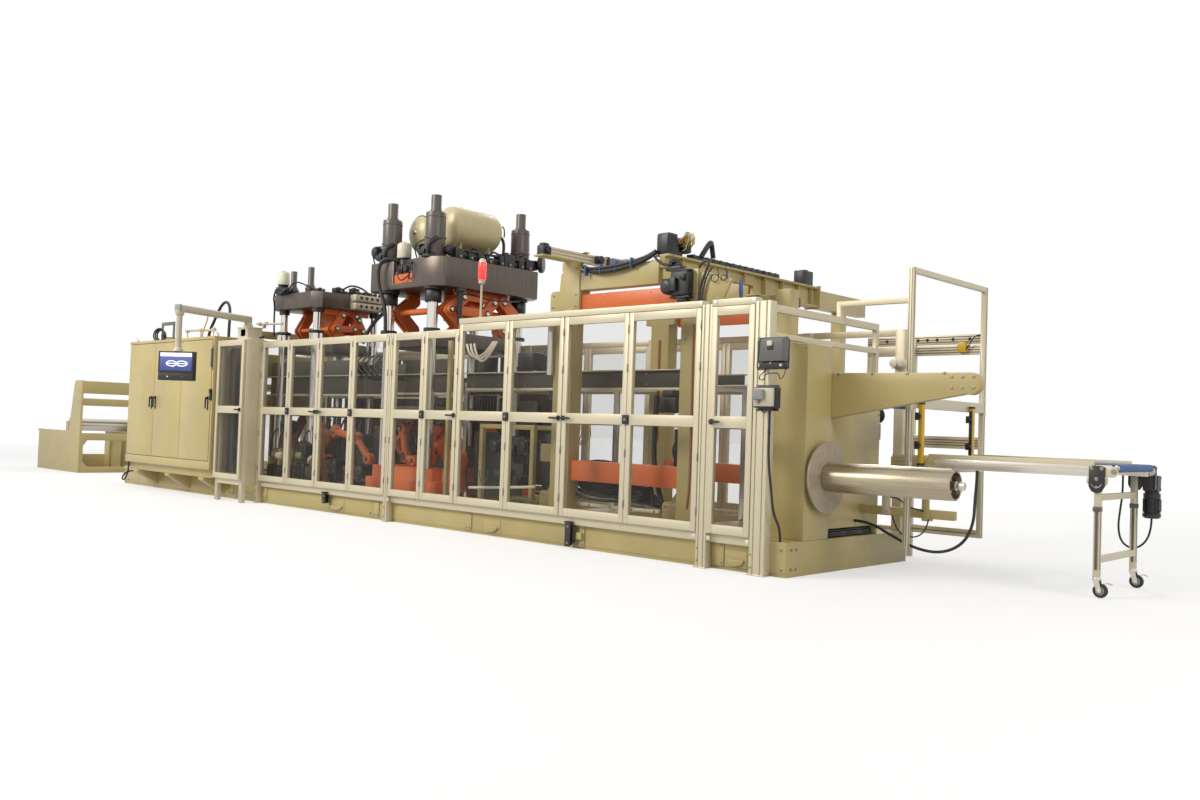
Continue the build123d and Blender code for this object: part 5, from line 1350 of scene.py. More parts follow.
# %% Build the interior
rail_sides, pale_lips, cream_bits, dark_bits, metal_bits = [], [], [], [], []
hose_bits, conduit_bits, pale_bits, green_bits, yellow_bits = [], [], [], [], []
for side in (-1, 1):
    y = sorted((side * 0.371, side * 0.385))
    for left, right, low, high in (
            (-2.78, -0.7, 1.43, 1.86), (-0.68, -0.1, 1.43, 1.655), (-0.02, 1.42, 1.45, 1.655),
            (1.48, 3.05, 1.5, 1.655), (3.12, 4.7, 1.5, 1.655)):
        rail_sides.append(box((left, right), y, (low, high), 0.003))
        pale_lips.append(box((left, right), sorted((side * 0.371, side * 0.43)), (1.655, 1.668), 0.002))
        pale_lips.append(
            box((left, right), sorted((side * 0.371, side * 0.4)), (low - 0.03, low - 0.002), 0.003))
    metal_bits += bolts(
        [(x, side * 0.385, z) for x in [-2.6 + 0.42 * k for k in range(17)] for z in (1.53, 1.63)],
        (0, side, 0), 0.007)
piece("sheet_rail_sides", rail_sides, OLIVE)
piece("sheet_rail_lips", pale_lips, ALUMINIUM)
# Cast feet of the stacker with their raking ribs
for left, right, y in (
        (2.995, 3.245, -0.66), (4.575, 4.815, -0.66), (2.995, 3.245, 0.56), (4.575, 4.815, 0.56)):
    middle = (left + right) / 2
    cream_bits += [
        box((left, right), (y, y + 0.16), (0.27, 0.47), 0.03, 4),
        slab([(left + 0.05, 0.46), (right - 0.03, 0.46), (right + 0.1, 0.74), (right + 0.04, 0.74)], 1,
             y + 0.05, y + 0.1, 0.01)]
    metal_bits += bolts(
        [(x, y, z) for x in (left + 0.05, right - 0.05) for z in (0.31, 0.43)], FRONT, 0.008)
cream_bits.append(box((2.995, 3.22), (-0.66, -0.5), (0.755, 0.93), 0.012))
# Frame and servo drives between the forming press and the stacker
cream_bits += [
    box((1.9, 1.955), (-0.53, -0.48), (0.27, 1.06), 0.006),
    box((2.7, 2.755), (-0.53, -0.48), (0.27, 1.06), 0.006),
    box((1.9, 2.755), (-0.53, -0.48), (1.06, 1.11), 0.006),
    box((1.9, 2.755), (0.1, 0.15), (1.06, 1.11), 0.006),
    box((2.28, 2.32), (-0.5, -0.45), (1.11, 1.9), 0.004),
    box((1.75, 2.05), (-0.7, -0.62), (0.27, 0.3), 0.003)]
for x, z, size in (
        (2.08, 0.86, 0.15), (2.3, 0.8, 0.19), (2.52, 0.88, 0.15), (2.15, 0.56, 0.13), (2.45, 0.52, 0.12)):
    dark_bits += [
        box(about(x, size / 2), (-0.47, -0.26), about(z, size / 2), 0.014, 3),
        lathe((x, -0.47, z), (x, -0.5, z), knob(size * 0.42, size * 0.3, 0.6), 28)]
    for index in range(5):
        dark_bits.append(
            box((x - size / 2 - 0.006, x + size / 2 + 0.006),
                (-0.44 + index * 0.034, -0.43 + index * 0.034),
                (z - size / 2 - 0.006, z + size / 2 + 0.006), 0.003))
    metal_bits += bolts(
        [(x + sx * size * 0.42, -0.47, z + sz * size * 0.42) for sx in (-1, 1) for sz in (-1, 1)], FRONT,
        0.005)
dark_bits += [
    box((1.74, 1.8), (-0.45, -0.15), (0.5, 1.02), 0.006),
    box((2.78, 2.92), (-0.42, -0.22), (0.45, 1.02), 0.008),
    box((4.36, 4.6), (-0.52, -0.3), (1.265, 1.405), 0.015, 3),
    box((4.42, 4.54), (-0.5, -0.34), (1.405, 1.47), 0.01),
    lathe((4.66, -0.46, 0.92), (4.66, -0.3, 0.92), [(0, 0.1), (0.1, 0.15), (0.7, 0.16), (1, 0.13)], 40),
    box((4.5, 4.83), (-0.42, -0.24), (0.68, 1.12), 0.018, 3),
    lathe((4.66, -0.475, 0.92), (4.66, -0.46, 0.92), [(0, 0.05), (1, 0.1)], 32)]
dark_bits += [
    box((2.25, 2.5), (-0.34, -0.16), (1.7, 1.88), 0.015),
    lathe((2.34, -0.36, 1.62), (2.34, -0.36, 1.72), [(0, 0.03), (1, 0.05)], 24),
    lathe((2.86, -0.33, 1.42), (2.86, -0.4, 1.42), knob(0.07, 0.05), 32),
    box((2.8, 2.92), (-0.33, -0.2), (1.36, 1.5), 0.01)]
for index in range(8):
    dark_bits.append(
        box((1.52 + index * 0.048, 1.545 + index * 0.048), (-0.32, -0.28), (1.22, 1.42), 0.003))
metal_bits.append(box((1.5, 1.91), (-0.29, -0.27), (1.2, 1.44), 0.003))
# Hose loops low down in the stacker, and hoses through the presses
for index in range(5):
    shift = 0.028 * index
    hose_bits.append(
        pipe([(4.53 - shift, -0.52 + shift, 0.4), (4.3, -0.55 + shift, 0.43 + shift),
              (3.8, -0.56 + shift, 0.47 + shift), (3.5, -0.56 + shift, 0.52 + shift),
              (3.37 + shift, -0.55 + shift, 0.6), (3.42 + shift, -0.54, 0.7 - shift * 0.5),
              (3.6, -0.5, 0.74 - shift), (3.78, -0.42, 0.7 - shift)], 0.017))
hose_bits += [
    pipe([(4.44, -0.6, 1.42), (4.43, -0.61, 1.06), (4.45, -0.62, 0.74), (4.54, -0.62, 0.48),
          (4.6, -0.6, 0.3)], 0.024, 4),
    pipe([(4.02, -0.52, 0.66), (4.2, -0.55, 0.69), (4.34, -0.56, 0.66), (4.4, -0.58, 0.55),
          (4.42, -0.58, 0.42)], 0.02, 4)]
for index in range(6):
    x = -0.62 + index * 0.11
    hose_bits.append(
        pipe([(x, -0.4, 1.9), (x + 0.03, -0.52, 1.86), (x + 0.1, -0.56, 1.74), (x + 0.22, -0.54, 1.66),
              (x + 0.33, -0.46, 1.62), (x + 0.38, -0.39, 1.6)], 0.01))
for index in range(5):
    x = -2.35 + index * 0.2
    hose_bits.append(
        pipe([(x, -0.5, 0.95), (x + 0.05, -0.6, 0.9), (x + 0.1, -0.64, 0.7), (x + 0.02, -0.62, 0.5),
              (x - 0.06, -0.6, 0.35), (x, -0.6, 0.28)], 0.011))
pale_bits += [
    pipe([(1.75 + 0.06 * k, -0.62, 1.96), (1.82 + 0.06 * k, -0.66, 1.86),
          (1.96 + 0.05 * k, -0.67, 1.8 - 0.03 * k), (2.1 + 0.04 * k, -0.64, 1.86),
          (2.16 + 0.03 * k, -0.6, 1.98)], 0.012) for k in range(3)]
pale_bits += [
    pipe([(1.97, -0.7, 0.43), (2.5, -0.7, 0.46), (2.985, -0.7, 0.5)], 0.016),
    lathe((-2.1, -0.62, 0.6), (-1.96, -0.62, 0.6), drum(0.035, 0.05, 0.035), 24)]
for index in range(3):
    cream_bits.append(
        lathe((-2.36, -0.58 + 0.09 * index, 0.62), (-1.55, -0.58 + 0.09 * index, 0.62),
              [(0, 0.03), (0.02, 0.045), (0.2, 0.045), (0.22, 0.036), (0.8, 0.036), (0.82, 0.045),
               (0.98, 0.045), (1, 0.03)], 28))
    cream_bits.append(
        box((-2.33 + 0.26 * index, -2.29 + 0.26 * index), (-0.64, -0.34), (0.48, 0.69), 0.006))
green_bits += [
    pipe([(2.55 + 0.03 * k, -0.62, 0.3), (2.62 + 0.03 * k, -0.66, 0.36 + 0.01 * (k % 3)),
          (2.74 + 0.02 * k, -0.65, 0.33), (2.88 + 0.02 * k, -0.63, 0.36), (2.99, -0.6, 0.32)], 0.006, 2)
    for k in range(6)]
green_bits += [
    pipe([(1.99, -0.58, 0.62), (2.03, -0.62, 0.52), (2.1, -0.62, 0.46), (2.14, -0.6, 0.54),
          (2.1, -0.56, 0.62)], 0.006, 2)]
conduit_bits += [
    pipe([(5.1, -0.93, 2.0), (5.105, -0.93, 1.3), (5.11, -0.93, 0.6), (5.06, -0.9, 0.45)], 0.012),
    pipe([(4.2, -0.3, 1.95), (4.2, -0.3, 1.3), (4.22, -0.32, 1.0)], 0.014),
    box((5.5, 5.62), (-0.45, -0.3), (1.18, 1.34), 0.01), box((5.6, 5.66), (-0.5, -0.42), (1.2, 1.3), 0.01)]
for index in range(4):
    conduit_bits.append(
        lathe((-2.2 + 0.35 * index, -0.5, 0.52), (-2.2 + 0.35 * index, -0.42, 0.52),
              [(0, 0.05), (0.3, 0.07), (1, 0.07)], 28))
cream_bits += [
    box((5.0, 5.06), (-0.7, -0.64), (0.27, 2.0), 0.004),
    box((5.45, 5.75), (-0.6, -0.25), (0.27, 0.62), 0.012),
    box((1.55, 1.6), (-0.72, -0.68), (0.27, 2.0), 0.004)]
dark_bits += [
    box((5.48, 5.64), (-0.55, -0.5), (0.62, 0.78), 0.008),
    lathe((5.56, -0.62, 0.46), (5.56, -0.6, 0.46), [(0, 0.1), (1, 0.11)], 32)]
# Hose loops, slide bars and a bunch of yellow wires low in the stacking station
for k in range(5):
    y, low = -0.66 + 0.05 * k, 0.44 + 0.035 * k
    hose_bits.append(
        pipe([(4.3, y, low + 0.02), (3.9, y, low - 0.02), (3.6, y, low), (3.42, y, low + 0.06),
              (3.39, y, low + 0.14), (3.46, y + 0.02, low + 0.2), (3.7, y + 0.04, low + 0.21),
              (4.1, y + 0.03, low + 0.14), (4.36, y + 0.02, low + 0.08)], 0.014 + 0.003 * (k % 2), 12))
for y, z in ((-0.66, 0.36), (-0.52, 0.4), (-0.66, 0.66)):
    pale_bits.append(box((3.35, 4.55), (y, y + 0.05), (z, z + 0.03), 0.004))
    metal_bits += bolts([(3.42 + 0.27 * k, y, z + 0.015) for k in range(5)], FRONT, 0.008)
for k in range(9):
    y = -0.6 + 0.02 * k
    yellow_bits.append(
        pipe([(3.33, y, 1.24), (3.37 + 0.012 * k, y - 0.02, 1.16), (3.42 + 0.01 * k, y - 0.03, 1.08),
              (3.36 + 0.014 * k, y, 1.0), (3.35, y + 0.02, 0.93)], 0.005, 8))
piece("interior_yellow_wires", yellow_bits, YELLOW)
# Service ducts along the rear of the presses, with their ribs, and the drive housings low down
ducts = []
for left, right in (
        (-2.76, -2.12), (-2.09, -1.45), (-1.42, -0.78), (-0.75, -0.12), (-0.02, 0.6), (0.63, 1.25),
        (1.28, 1.9)):
    ducts += [box((left, right), (0.8, 0.86), (0.4, 1.5), 0.006),
              box((left + 0.02, right - 0.02), (0.82, 0.85), (1.52, 1.95), 0.004)]
    ducts += [box((left + 0.05 + 0.13 * k, left + 0.075 + 0.13 * k), (0.785, 0.8), (0.46, 1.44), 0.003)
              for k in range(5)]
    ducts.append(box((left + 0.05, right - 0.05), (0.776, 0.8), (0.9, 0.98), 0.004))
for left, right, low, high, depth in (
        (-2.4, -1.56, 0.48, 0.7, 0.26), (-1.3, -0.95, 0.3, 0.92, 0.3), (-0.9, -0.5, 0.3, 0.74, 0.34),
        (0.36, 1.11, 0.59, 0.82, 0.3), (1.55, 1.72, 0.3, 0.98, 0.3), (-0.42, -0.12, 0.3, 1.05, 0.28)):
    ducts.append(box((left, right), (-depth, depth), (low, high), 0.012, 3))
    for k in range(4):
        z = low + (high - low) * (0.2 + 0.2 * k)
        ducts.append(
            box((left + 0.02, right - 0.02), (-depth - 0.008, depth + 0.008), (z, z + 0.012), 0.003))
    metal_bits += bolts(
        [(x, -depth, z) for x in (left + 0.03, right - 0.03) for z in (low + 0.03, high - 0.03)], FRONT,
        0.008)
piece("interior_ducts", ducts, OLIVE)
for index in range(9):
    x = -1.4 + index * 0.1
    hose_bits.append(
        pipe([(x, -0.34, 1.1), (x + 0.02, -0.4, 0.98), (x + 0.06 * math.sin(index), -0.44, 0.8),
              (x - 0.05, -0.42, 0.62), (x + 0.03, -0.38, 0.45), (x, -0.34, 0.32)],
             0.009 + 0.002 * (index % 3)))
for index in range(6):
    x = 0.42 + index * 0.12
    hose_bits.append(
        pipe([(x, -0.36, 1.1), (x + 0.03, -0.46, 1.02), (x + 0.08, -0.5, 0.9), (x + 0.02, -0.46, 0.8),
              (x + 0.01, -0.36, 0.74)], 0.01))
copper = [pipe([(-1.36 + 0.05 * k, -0.52, 1.05), (-1.28 + 0.04 * k, -0.6, 0.92),
                (-1.18 + 0.05 * k, -0.62, 0.7), (-1.12 + 0.03 * k, -0.58, 0.5),
                (-1.16 + 0.04 * k, -0.52, 0.3)], 0.009) for k in range(5)]
copper += [
    box((-1.34, -1.02), (-0.5, -0.46), (0.62, 0.66), 0.004),
    lathe((-1.2, -0.52, 0.86), (-1.2, -0.44, 0.86), [(0, 0.09), (0.3, 0.12), (1, 0.12)], 36),
    lathe((-0.98, -0.5, 0.95), (-0.98, -0.44, 0.95), [(0, 0.06), (0.3, 0.09), (1, 0.09)], 36)]
piece("interior_copper", copper, COPPER)
# Wiring behind the bay door
for index in range(7):
    x = -2.535 + index * 0.022
    metal_bits.append(box((x, x + 0.01), (-1.13, -1.06), (0.36, 2.0), 0.002))
dark_bits.append(box((-2.36, -2.16), (-1.0, -0.98), (0.85, 1.85), 0.003))
for index in range(16):
    z = 0.92 + index * 0.056
    green_bits.append(box((-2.35, -2.285), (-1.012, -1.0), (z, z + 0.03), 0.002))
    if index % 2:
        pale_bits.append(box((-2.27, -2.235), (-1.012, -1.0), (z, z + 0.02), 0.002))
blue_bits = [
    box((-2.225, -2.175), (-1.016, -1.0), (0.95 + 0.15 * k, 1.04 + 0.15 * k), 0.003) for k in range(6)]
blue_bits += [
    pipe([(-2.34 + 0.03 * k, -1.02, 0.84), (-2.36 + 0.04 * k, -1.08, 0.7), (-2.3 + 0.03 * k, -1.1, 0.55),
          (-2.33 + 0.03 * k, -1.06, 0.42), (-2.3, -1.02, 0.34)], 0.008, 2) for k in range(3)]
pale_bits += [
    pipe([(-2.25 + 0.03 * k, -1.02, 0.84), (-2.22 + 0.03 * k, -1.09, 0.72), (-2.28 + 0.03 * k, -1.11, 0.56),
          (-2.22, -1.06, 0.44), (-2.24, -1.02, 0.34)], 0.008, 2) for k in range(3)]
piece("interior_cream", cream_bits, CREAM)
piece("interior_dark", dark_bits, BLACK)
piece("interior_hoses", hose_bits, RUBBER)
piece("interior_conduits", conduit_bits, COPPER)
piece("interior_metal", metal_bits, BOLT)
piece("interior_pale", pale_bits, WHITE_PLASTIC)
piece("interior_green", green_bits,
      (enamel("terminal_green", (0.05, 0.13, 0.06), 0.45, 0.0), "guard_profile"))
piece("interior_blue", blue_bits, BLUE_PLASTIC)
print("interior built")

# %% [markdown]
# ## Winder
# The rewind mandrel is an expanding one: two ground shells round an inner tube, with a key bar in
# each gap. The tapered arm is bolted on, and hoses fill the opening at the foot of the column.

# %% Build the mandrel and dress the winder
mandrel_y, mandrel_z, shell_radius = -0.49, 0.77, 0.112
shell = lathe(
    (6.162, mandrel_y, mandrel_z), (7.223, mandrel_y, mandrel_z),
    [(0, shell_radius), (0.996, shell_radius), (1, shell_radius - 0.003), (1, 0.097), (0.93, 0.095)], 72)
cutter = box((6.1, 7.4), about(mandrel_y, 0.012), about(mandrel_z, 0.3), 0)
hold(shell)
split = shell.modifiers.new("split", "BOOLEAN")
split.operation, split.solver, split.object = "DIFFERENCE", "EXACT", cutter
bpy.ops.object.modifier_apply(modifier="split")
bpy.data.objects.remove(cutter, do_unlink=True)
soften(shell, 0.0015, 1)
core = lathe((6.165, mandrel_y, mandrel_z), (7.15, mandrel_y, mandrel_z), knob(0.088, 0.08, 0.99), 48)
piece("mandrel_shells", [shell], (mandrel_steel, "steel"), "rewind_mandrel", ("rewind_mandrel",))
piece("mandrel_core", [core], (plate_steel, "steel"), "rewind_mandrel")
keys = [box((6.163, 7.19), about(mandrel_y, 0.011), (mandrel_z + 0.08, mandrel_z + 0.124), 0.003),
        box((6.163, 7.19), about(mandrel_y, 0.011), (mandrel_z - 0.113, mandrel_z - 0.08), 0.003),
        lathe((7.15, mandrel_y, mandrel_z), (7.291, mandrel_y, mandrel_z),
              [(0, 0.06), (0.15, 0.06), (0.16, 0.034), (0.55, 0.034), (0.56, 0.022), (0.72, 0.022),
               (0.74, 0.034), (0.94, 0.034), (1, 0.026)], 40)]
keys += bolts(around((7.151, mandrel_y, mandrel_z), 0.073, turns(6, 0.5), 0), DISCHARGE, 0.007)
piece("mandrel_hub", keys, BRIGHT, "rewind_mandrel")
collar = [lathe((6.1, mandrel_y, mandrel_z), (6.137, mandrel_y, mandrel_z), drum(0.105, 0.11, 0.1), 48)]
piece("mandrel_bearing", collar, BLACK)
screws = bolts(
    [(x, -0.368, z) for x in (7.116, 7.2, 7.284) for z in (1.491, 1.573)]
    + [(x, -0.368, 1.603) for x in (6.155, 6.459, 6.757, 7.056)], FRONT, 0.0085)
screws += bolts([(6.08, 0.45, 0.32), (6.08, 0.45, 1.3), (6.08, -0.34, 1.3)], DISCHARGE, 0.007)
screws += bolts([(5.7, -0.738, 1.79), (6.08, -0.738, 1.79)], FRONT, 0.005)
piece("winder_bolts", screws, BOLT)
hoses = []
for index in range(6):
    x, z = 6.068 - 0.02 * (index % 3), 0.288 + 0.018 * (index // 2)
    hoses.append(
        pipe([(x, -0.32, z), (x + 0.008, -0.2, z + 0.006), (x - 0.004, -0.06, z - 0.004),
              (x + 0.008, 0.1, z + 0.006), (x, 0.26, z - 0.002), (x - 0.03, 0.43, z)], 0.011))
hoses += [pipe([(6.04, y, 0.3), (6.075, y + 0.015, 0.325), (6.08, y + 0.05, 0.3), (6.06, y + 0.07, 0.285)],
               0.006) for y in (-0.28, -0.16, -0.02, 0.09, 0.21)]
piece("winder_hoses", hoses, RUBBER)
greens = [pipe([(6.055, y, 0.3), (6.078, y + 0.02, 0.318), (6.07, y + 0.06, 0.306),
                (6.045, y + 0.09, 0.29)], 0.004, 2) for y in (-0.24, -0.1, 0.05, 0.15, 0.28)]
piece("winder_wires", greens, strands["green_wires"][0])
conduit = [
    box((5.985, 6.065), (0.477, 0.522), (1.085, 1.222), 0.004),
    box((5.992, 6.058), (0.522, 0.528), (1.095, 1.212), 0.002),
    pipe([(6.025, 0.5, 1.085), (6.025, 0.505, 0.9), (6.02, 0.5, 0.6), (6.02, 0.497, 0.3)], 0.01)]
piece("winder_conduit", conduit, GREY_PLASTIC)
drive_x, drive_z = 5.93, 1.3
drive = [box((5.86, 6.02), (0.477, 0.56), (1.235, 1.33), 0.014, 3),
         lathe((drive_x, 0.56, drive_z), (drive_x, 0.73, drive_z), drum(0.06, 0.068, 0.052), 36),
         lathe((drive_x, 0.6, 1.24), (drive_x, 0.6, 1.215), [(0, 0.03), (1, 0.024)], 20)]
for index in range(6):
    drive.append(
        lathe((drive_x, 0.585 + index * 0.022, drive_z), (drive_x, 0.593 + index * 0.022, drive_z),
              drum(0.068, 0.074, 0.068, 0.2), 36))
piece("winder_drive", drive, BLACK)
print("winder dressed")

# %% [markdown]
# ## Control boxes on the corner post
# Black mounting plates carry a grey switch box with a sloping lid and a small one with a rounded cover.

# %% Build the control boxes
plates = [box((5.85, 6.13), (-1.073, -1.065), (1.6, 1.85), 0.003),
          box((5.85, 6.06), (-1.073, -1.065), (1.28, 1.48), 0.003),
          box((5.9, 6.15), (-1.15, -1.073), (1.604, 1.652), 0.004),
          box((5.96, 6.15), (-1.09, -1.073), (1.65, 1.832), 0.003),
          box((5.875, 6.08), (-1.14, -1.073), (1.3, 1.46), 0.006),
          box((6.012, 6.066), (-1.1785, -1.1745), (1.742, 1.772), 0.002),
          lathe((6.012, -1.118, 1.3), (6.012, -1.118, 1.262),
                [(0, 0.019), (0.4, 0.019), (0.45, 0.014), (1, 0.012)], 24)]
piece("control_box_plates", plates, BLACK, replaces=("control_boxes",))
lids = [slab([(5.935, 1.656), (6.148, 1.656), (6.15, 1.826), (5.95, 1.826)], 1, -1.175, -1.088, 0.006, 3),
        box((5.948, 6.152), (-1.15, -1.088), (1.822, 1.832), 0.003)]
piece("switch_box_lid", lids, GREY, replaces=("control_boxes",))
small = [box((5.888, 6.068), (-1.166, -1.14), (1.312, 1.452), 0.005),
         box((5.9, 5.912), (-1.17, -1.166), (1.43, 1.442), 0.002)]
piece("small_box_lid", small, (arm_enamel, "grey_box"), replaces=("control_boxes",))
covers = [box((5.892, 5.992), (-1.196, -1.166), (1.362, 1.442), 0.022, 4),
          lathe((5.935, -1.166, 1.35), (5.935, -1.186, 1.35), knob(0.016, 0.012), 24)]
piece("small_box_cover", covers, GREY_PLASTIC)
toggles = [
    box((6.018, 6.06), (-1.196, -1.172), (1.772, 1.812), 0.008, 3),
    lathe((6.03, -1.12, 1.664), (6.03, -1.16, 1.64), [(0, 0.008), (1, 0.006)], 12),
    box((5.915, 5.925), (-1.1515, -1.15), (1.615, 1.64), 0.001),
    box((6.11, 6.132), (-1.1515, -1.15), (1.618, 1.636), 0.001)]
piece("switch_box_toggle", toggles, WHITE_PLASTIC)
screws = bolts(
    [(x, -1.073, z) for x, z in ((5.862, 1.615), (5.862, 1.835), (5.862, 1.294), (5.862, 1.466))], FRONT,
    0.0055)
screws += bolts([(5.925, -1.15, 1.628), (6.128, -1.15, 1.628)], FRONT, 0.006)
piece("control_box_screws", screws, BOLT)
loops = [pipe([(5.975, -1.12, 1.604), (5.96, -1.14, 1.57), (5.925, -1.15, 1.545), (5.935, -1.15, 1.51),
               (5.975, -1.14, 1.52), (5.965, -1.13, 1.56), (6.02, -1.12, 1.57), (6.09, -1.12, 1.565),
               (6.1, -1.13, 1.52), (6.13, -1.13, 1.53), (6.145, -1.12, 1.58), (6.14, -1.11, 1.606)], 0.004,
              2),
         pipe([(5.94, -1.12, 1.3), (5.948, -1.13, 1.275), (5.966, -1.125, 1.262), (5.985, -1.12, 1.275)],
              0.004, 2)]
piece("control_box_wires", loops, RUBBER)
tie = lathe((6.012, -1.118, 1.12), (6.012, -1.118, 1.112), [(0, 0.014), (1, 0.014)], 16)
piece("box_cable_tie", [tie], PLASTIC)
print("control boxes built")

# %% [markdown]
# ## Discharge
# Light curtains stand on the gate, a slotted rail runs behind it, and a cream bracket hangs the near
# rail of the conveyor from a beam on the winder. Guides keep the sheets on the belt.

# %% Build the light curtains and the fittings of the gate
sticks, optics, mounts = [], [], []
for near, far, inner in ((0.112, 0.157, 0.157), (1.062, 1.107, 1.062)):
    sticks += [box((6.615, 6.653), (near, far), (0.905, 1.385), 0.006, 3)]
    side = 1 if inner == far else -1
    optics.append(box((6.622, 6.646), sorted((inner, inner + side * 0.0015)), (0.93, 1.36), 0.0005))
    optics += [
        box((6.613, 6.655), (near - 0.002, far + 0.002), (0.89, 0.906), 0.003),
        box((6.613, 6.655), (near - 0.002, far + 0.002), (1.384, 1.4), 0.003)]
    for z in (1.255, 1.02):
        mounts += [
            box((6.6, 6.63), (near - 0.03, near), (z, z + 0.062), 0.004),
            lathe((6.63, near - 0.016, z + 0.031), (6.648, near - 0.016, z + 0.031), knob(0.014, 0.01), 16)]
piece("curtain_housings", sticks, YELLOW, replaces=("light_curtains",))
piece("curtain_optics", optics, PLASTIC, replaces=("light_curtains",))
piece("curtain_mounts", mounts, BLACK)
rails = [box((5.44, 6.567), (1.372, 1.415), (1.985, 2.072), 0.003),
         box((5.44, 5.944), (1.372, 1.415), (1.885, 1.975), 0.003),
         box((5.44, 5.485), (1.375, 1.412), (0.0, 1.885), 0.003)]
piece("slotted_rear_rails", rails, ALUMINIUM)
# Thin dark strips along the rails and gate posts are painted shade: they stand in for the dark inside of
# the slots.
slots = [box((5.445, 6.566), (1.3705, 1.3725), about(z, 0.004), 0) for z in (2.006, 2.029, 2.052)]
slots += [box((5.95, 6.566), (1.369, 1.3705), about(z, 0.004), 0)
          for z in (1.907, 1.93, 1.953, 1.057, 1.08, 1.103, 0.265)]
slots += [box((6.6125, 6.614), about(y, 0.004), (0.235, 2.485), 0) for y in (0.0025, 1.3925)]
slots += [box((6.578, 6.582), (-0.0215, -0.02), (0.24, 2.48), 0),
          box((6.598, 6.602), (-0.0215, -0.02), (0.24, 2.48), 0)]
piece("rail_slot_painted_shade", slots, DARK)
dots = bolts([(x, 1.3705, 2.029) for x in (5.648, 5.804, 5.967, 6.06, 6.156, 6.311, 6.47)], FRONT, 0.01)
piece("rail_bolts", dots, BLACK)
sensor = [box((6.375, 6.452), (1.33, 1.37), (1.905, 2.002), 0.006),
          box((6.36, 6.376), (1.345, 1.37), (1.93, 1.97), 0.003)]
piece("gate_sensor", sensor, YELLOW)
tray = [box((6.3, 6.567), (0.17, 0.65), (1.368, 1.384), 0.006),
        slab([(6.3, 1.38), (6.316, 1.38), (6.3, 1.352), (6.288, 1.352)], 1, 0.17, 0.65, 0.003)]
piece("blue_shelf", tray, BLUE_PLASTIC)
rollers = [
    lathe((x, 0.9, 1.785), (x, 0.975, 1.785), drum(0.03, 0.036, 0.03, 0.06), 32) for x in (5.96, 6.038)]
rollers.append(slab([(5.975, 1.752), (6.023, 1.752), (5.999, 1.815)], 1, 0.94, 0.975, 0.003))
rollers.append(box((5.92, 6.08), (0.955, 0.975), (1.738, 1.752), 0.002))
piece("guard_rollers", rollers, WHITE_PLASTIC)
cream = [box((6.08, 6.905), (0.178, 0.24), (0.46, 0.532), 0.006),
         box((6.64, 6.704), (0.16, 0.1745), (0.462, 0.905), 0.003),
         slab([(6.64, 0.9), (6.704, 0.9), (6.716, 0.945), (6.704, 0.965), (6.69, 0.965), (6.684, 0.94),
               (6.66, 0.94), (6.654, 0.965), (6.64, 0.965), (6.628, 0.945)], 1, 0.16, 0.1745, 0.002),
         box((6.64, 6.704), (0.16, 0.24), (0.44, 0.464), 0.004)]
piece("conveyor_hanger", cream, CREAM)
wires = [pipe([(6.3, 0.17, 0.6), (6.36, 0.165, 0.62), (6.45, 0.165, 0.6), (6.5, 0.16, 0.55),
               (6.6, 0.158, 0.53), (6.66, 0.155, 0.52)], 0.006, 2),
         pipe([(6.38, 0.172, 0.46), (6.42, 0.15, 0.36), (6.52, 0.13, 0.3), (6.64, 0.13, 0.31),
               (6.7, 0.15, 0.4), (6.7, 0.165, 0.46)], 0.006, 2),
         pipe([(6.42, 1.34, 1.905), (6.48, 1.33, 1.96), (6.51, 1.335, 2.02), (6.54, 1.35, 2.06),
               (6.567, 1.37, 2.06)], 0.005, 2),
         pipe([(6.615, 0.125, 0.89), (6.612, 0.1, 0.8), (6.6, 0.06, 0.7), (6.6, 0.04, 0.6)], 0.006, 2)]
piece("gate_wires", wires, RUBBER)
extras = [box((6.29, 6.36), (0.15, 0.178), (0.47, 0.62), 0.004),
          box((6.3, 6.35), (0.135, 0.15), (0.5, 0.6), 0.006)]
piece("gate_junction_box", extras, (arm_enamel, "grey_box"))
corner = []
for y in (-0.02, 1.37):
    corner += [box((6.6125, 6.6165), (y, y + 0.045), (z, z + 0.045), 0.001) for z in (1.33, 1.445, 0.872)]
piece("gate_joint_covers", corner, ALUMINIUM)
print("gate dressed")

# %% Build the conveyor's guides, brackets and drive
guides = []
for y in (0.1765, 1.0375):
    guides += [
        box((6.68, 7.96), (y, y + 0.006), (0.905, 0.986), 0.002),
        box((6.36, 6.68), (y, y + 0.006), (0.905, 0.971), 0.002)]
    for z in (0.925, 0.895):
        edge = 0.1738 if y < 0.5 else 1.0451
        guides.append(box((6.352, 7.96), (edge, edge + 0.0012), about(z, 0.002), 0))
ends = [slab([(7.96, 0.872), (8.09, 0.872), (8.118, 0.884), (8.128, 0.91), (8.118, 0.94), (8.09, 0.952),
              (7.96, 0.952)], 1, y, y + 0.012, 0.002) for y in (0.163, 1.045)]
piece("conveyor_guides", guides + ends, ALUMINIUM)
brackets = []
for near, far in ((0.15, 0.163), (1.046, 1.059)):
    outline = [
        (7.93, 0.946), (7.93, 0.8), (7.95, 0.765), (7.985, 0.752), (8.02, 0.765), (8.04, 0.8),
        (8.04, 0.946)]
    brackets.append(slab(outline, 1, near, far, 0.003))
    brackets.append(box((7.95, 8.02), (near, far + (0.012 if near < 0.5 else 0.0)), (0.94, 0.952), 0.002))
piece("stand_brackets", brackets, BLACK)
marks = bolts([(7.985, 0.15, 0.855), (7.95, 0.15, 0.932), (8.02, 0.15, 0.932)], FRONT, 0.009)
arc = [math.pi * (1.12 + 0.076 * k) for k in range(11)]
marks.append(pipe(around((7.985, 0.1495, 0.835), 0.04, arc, 1), 0.0045, 2))
marks += bolts([(7.985, 0.15, 0.796)], FRONT, 0.007)
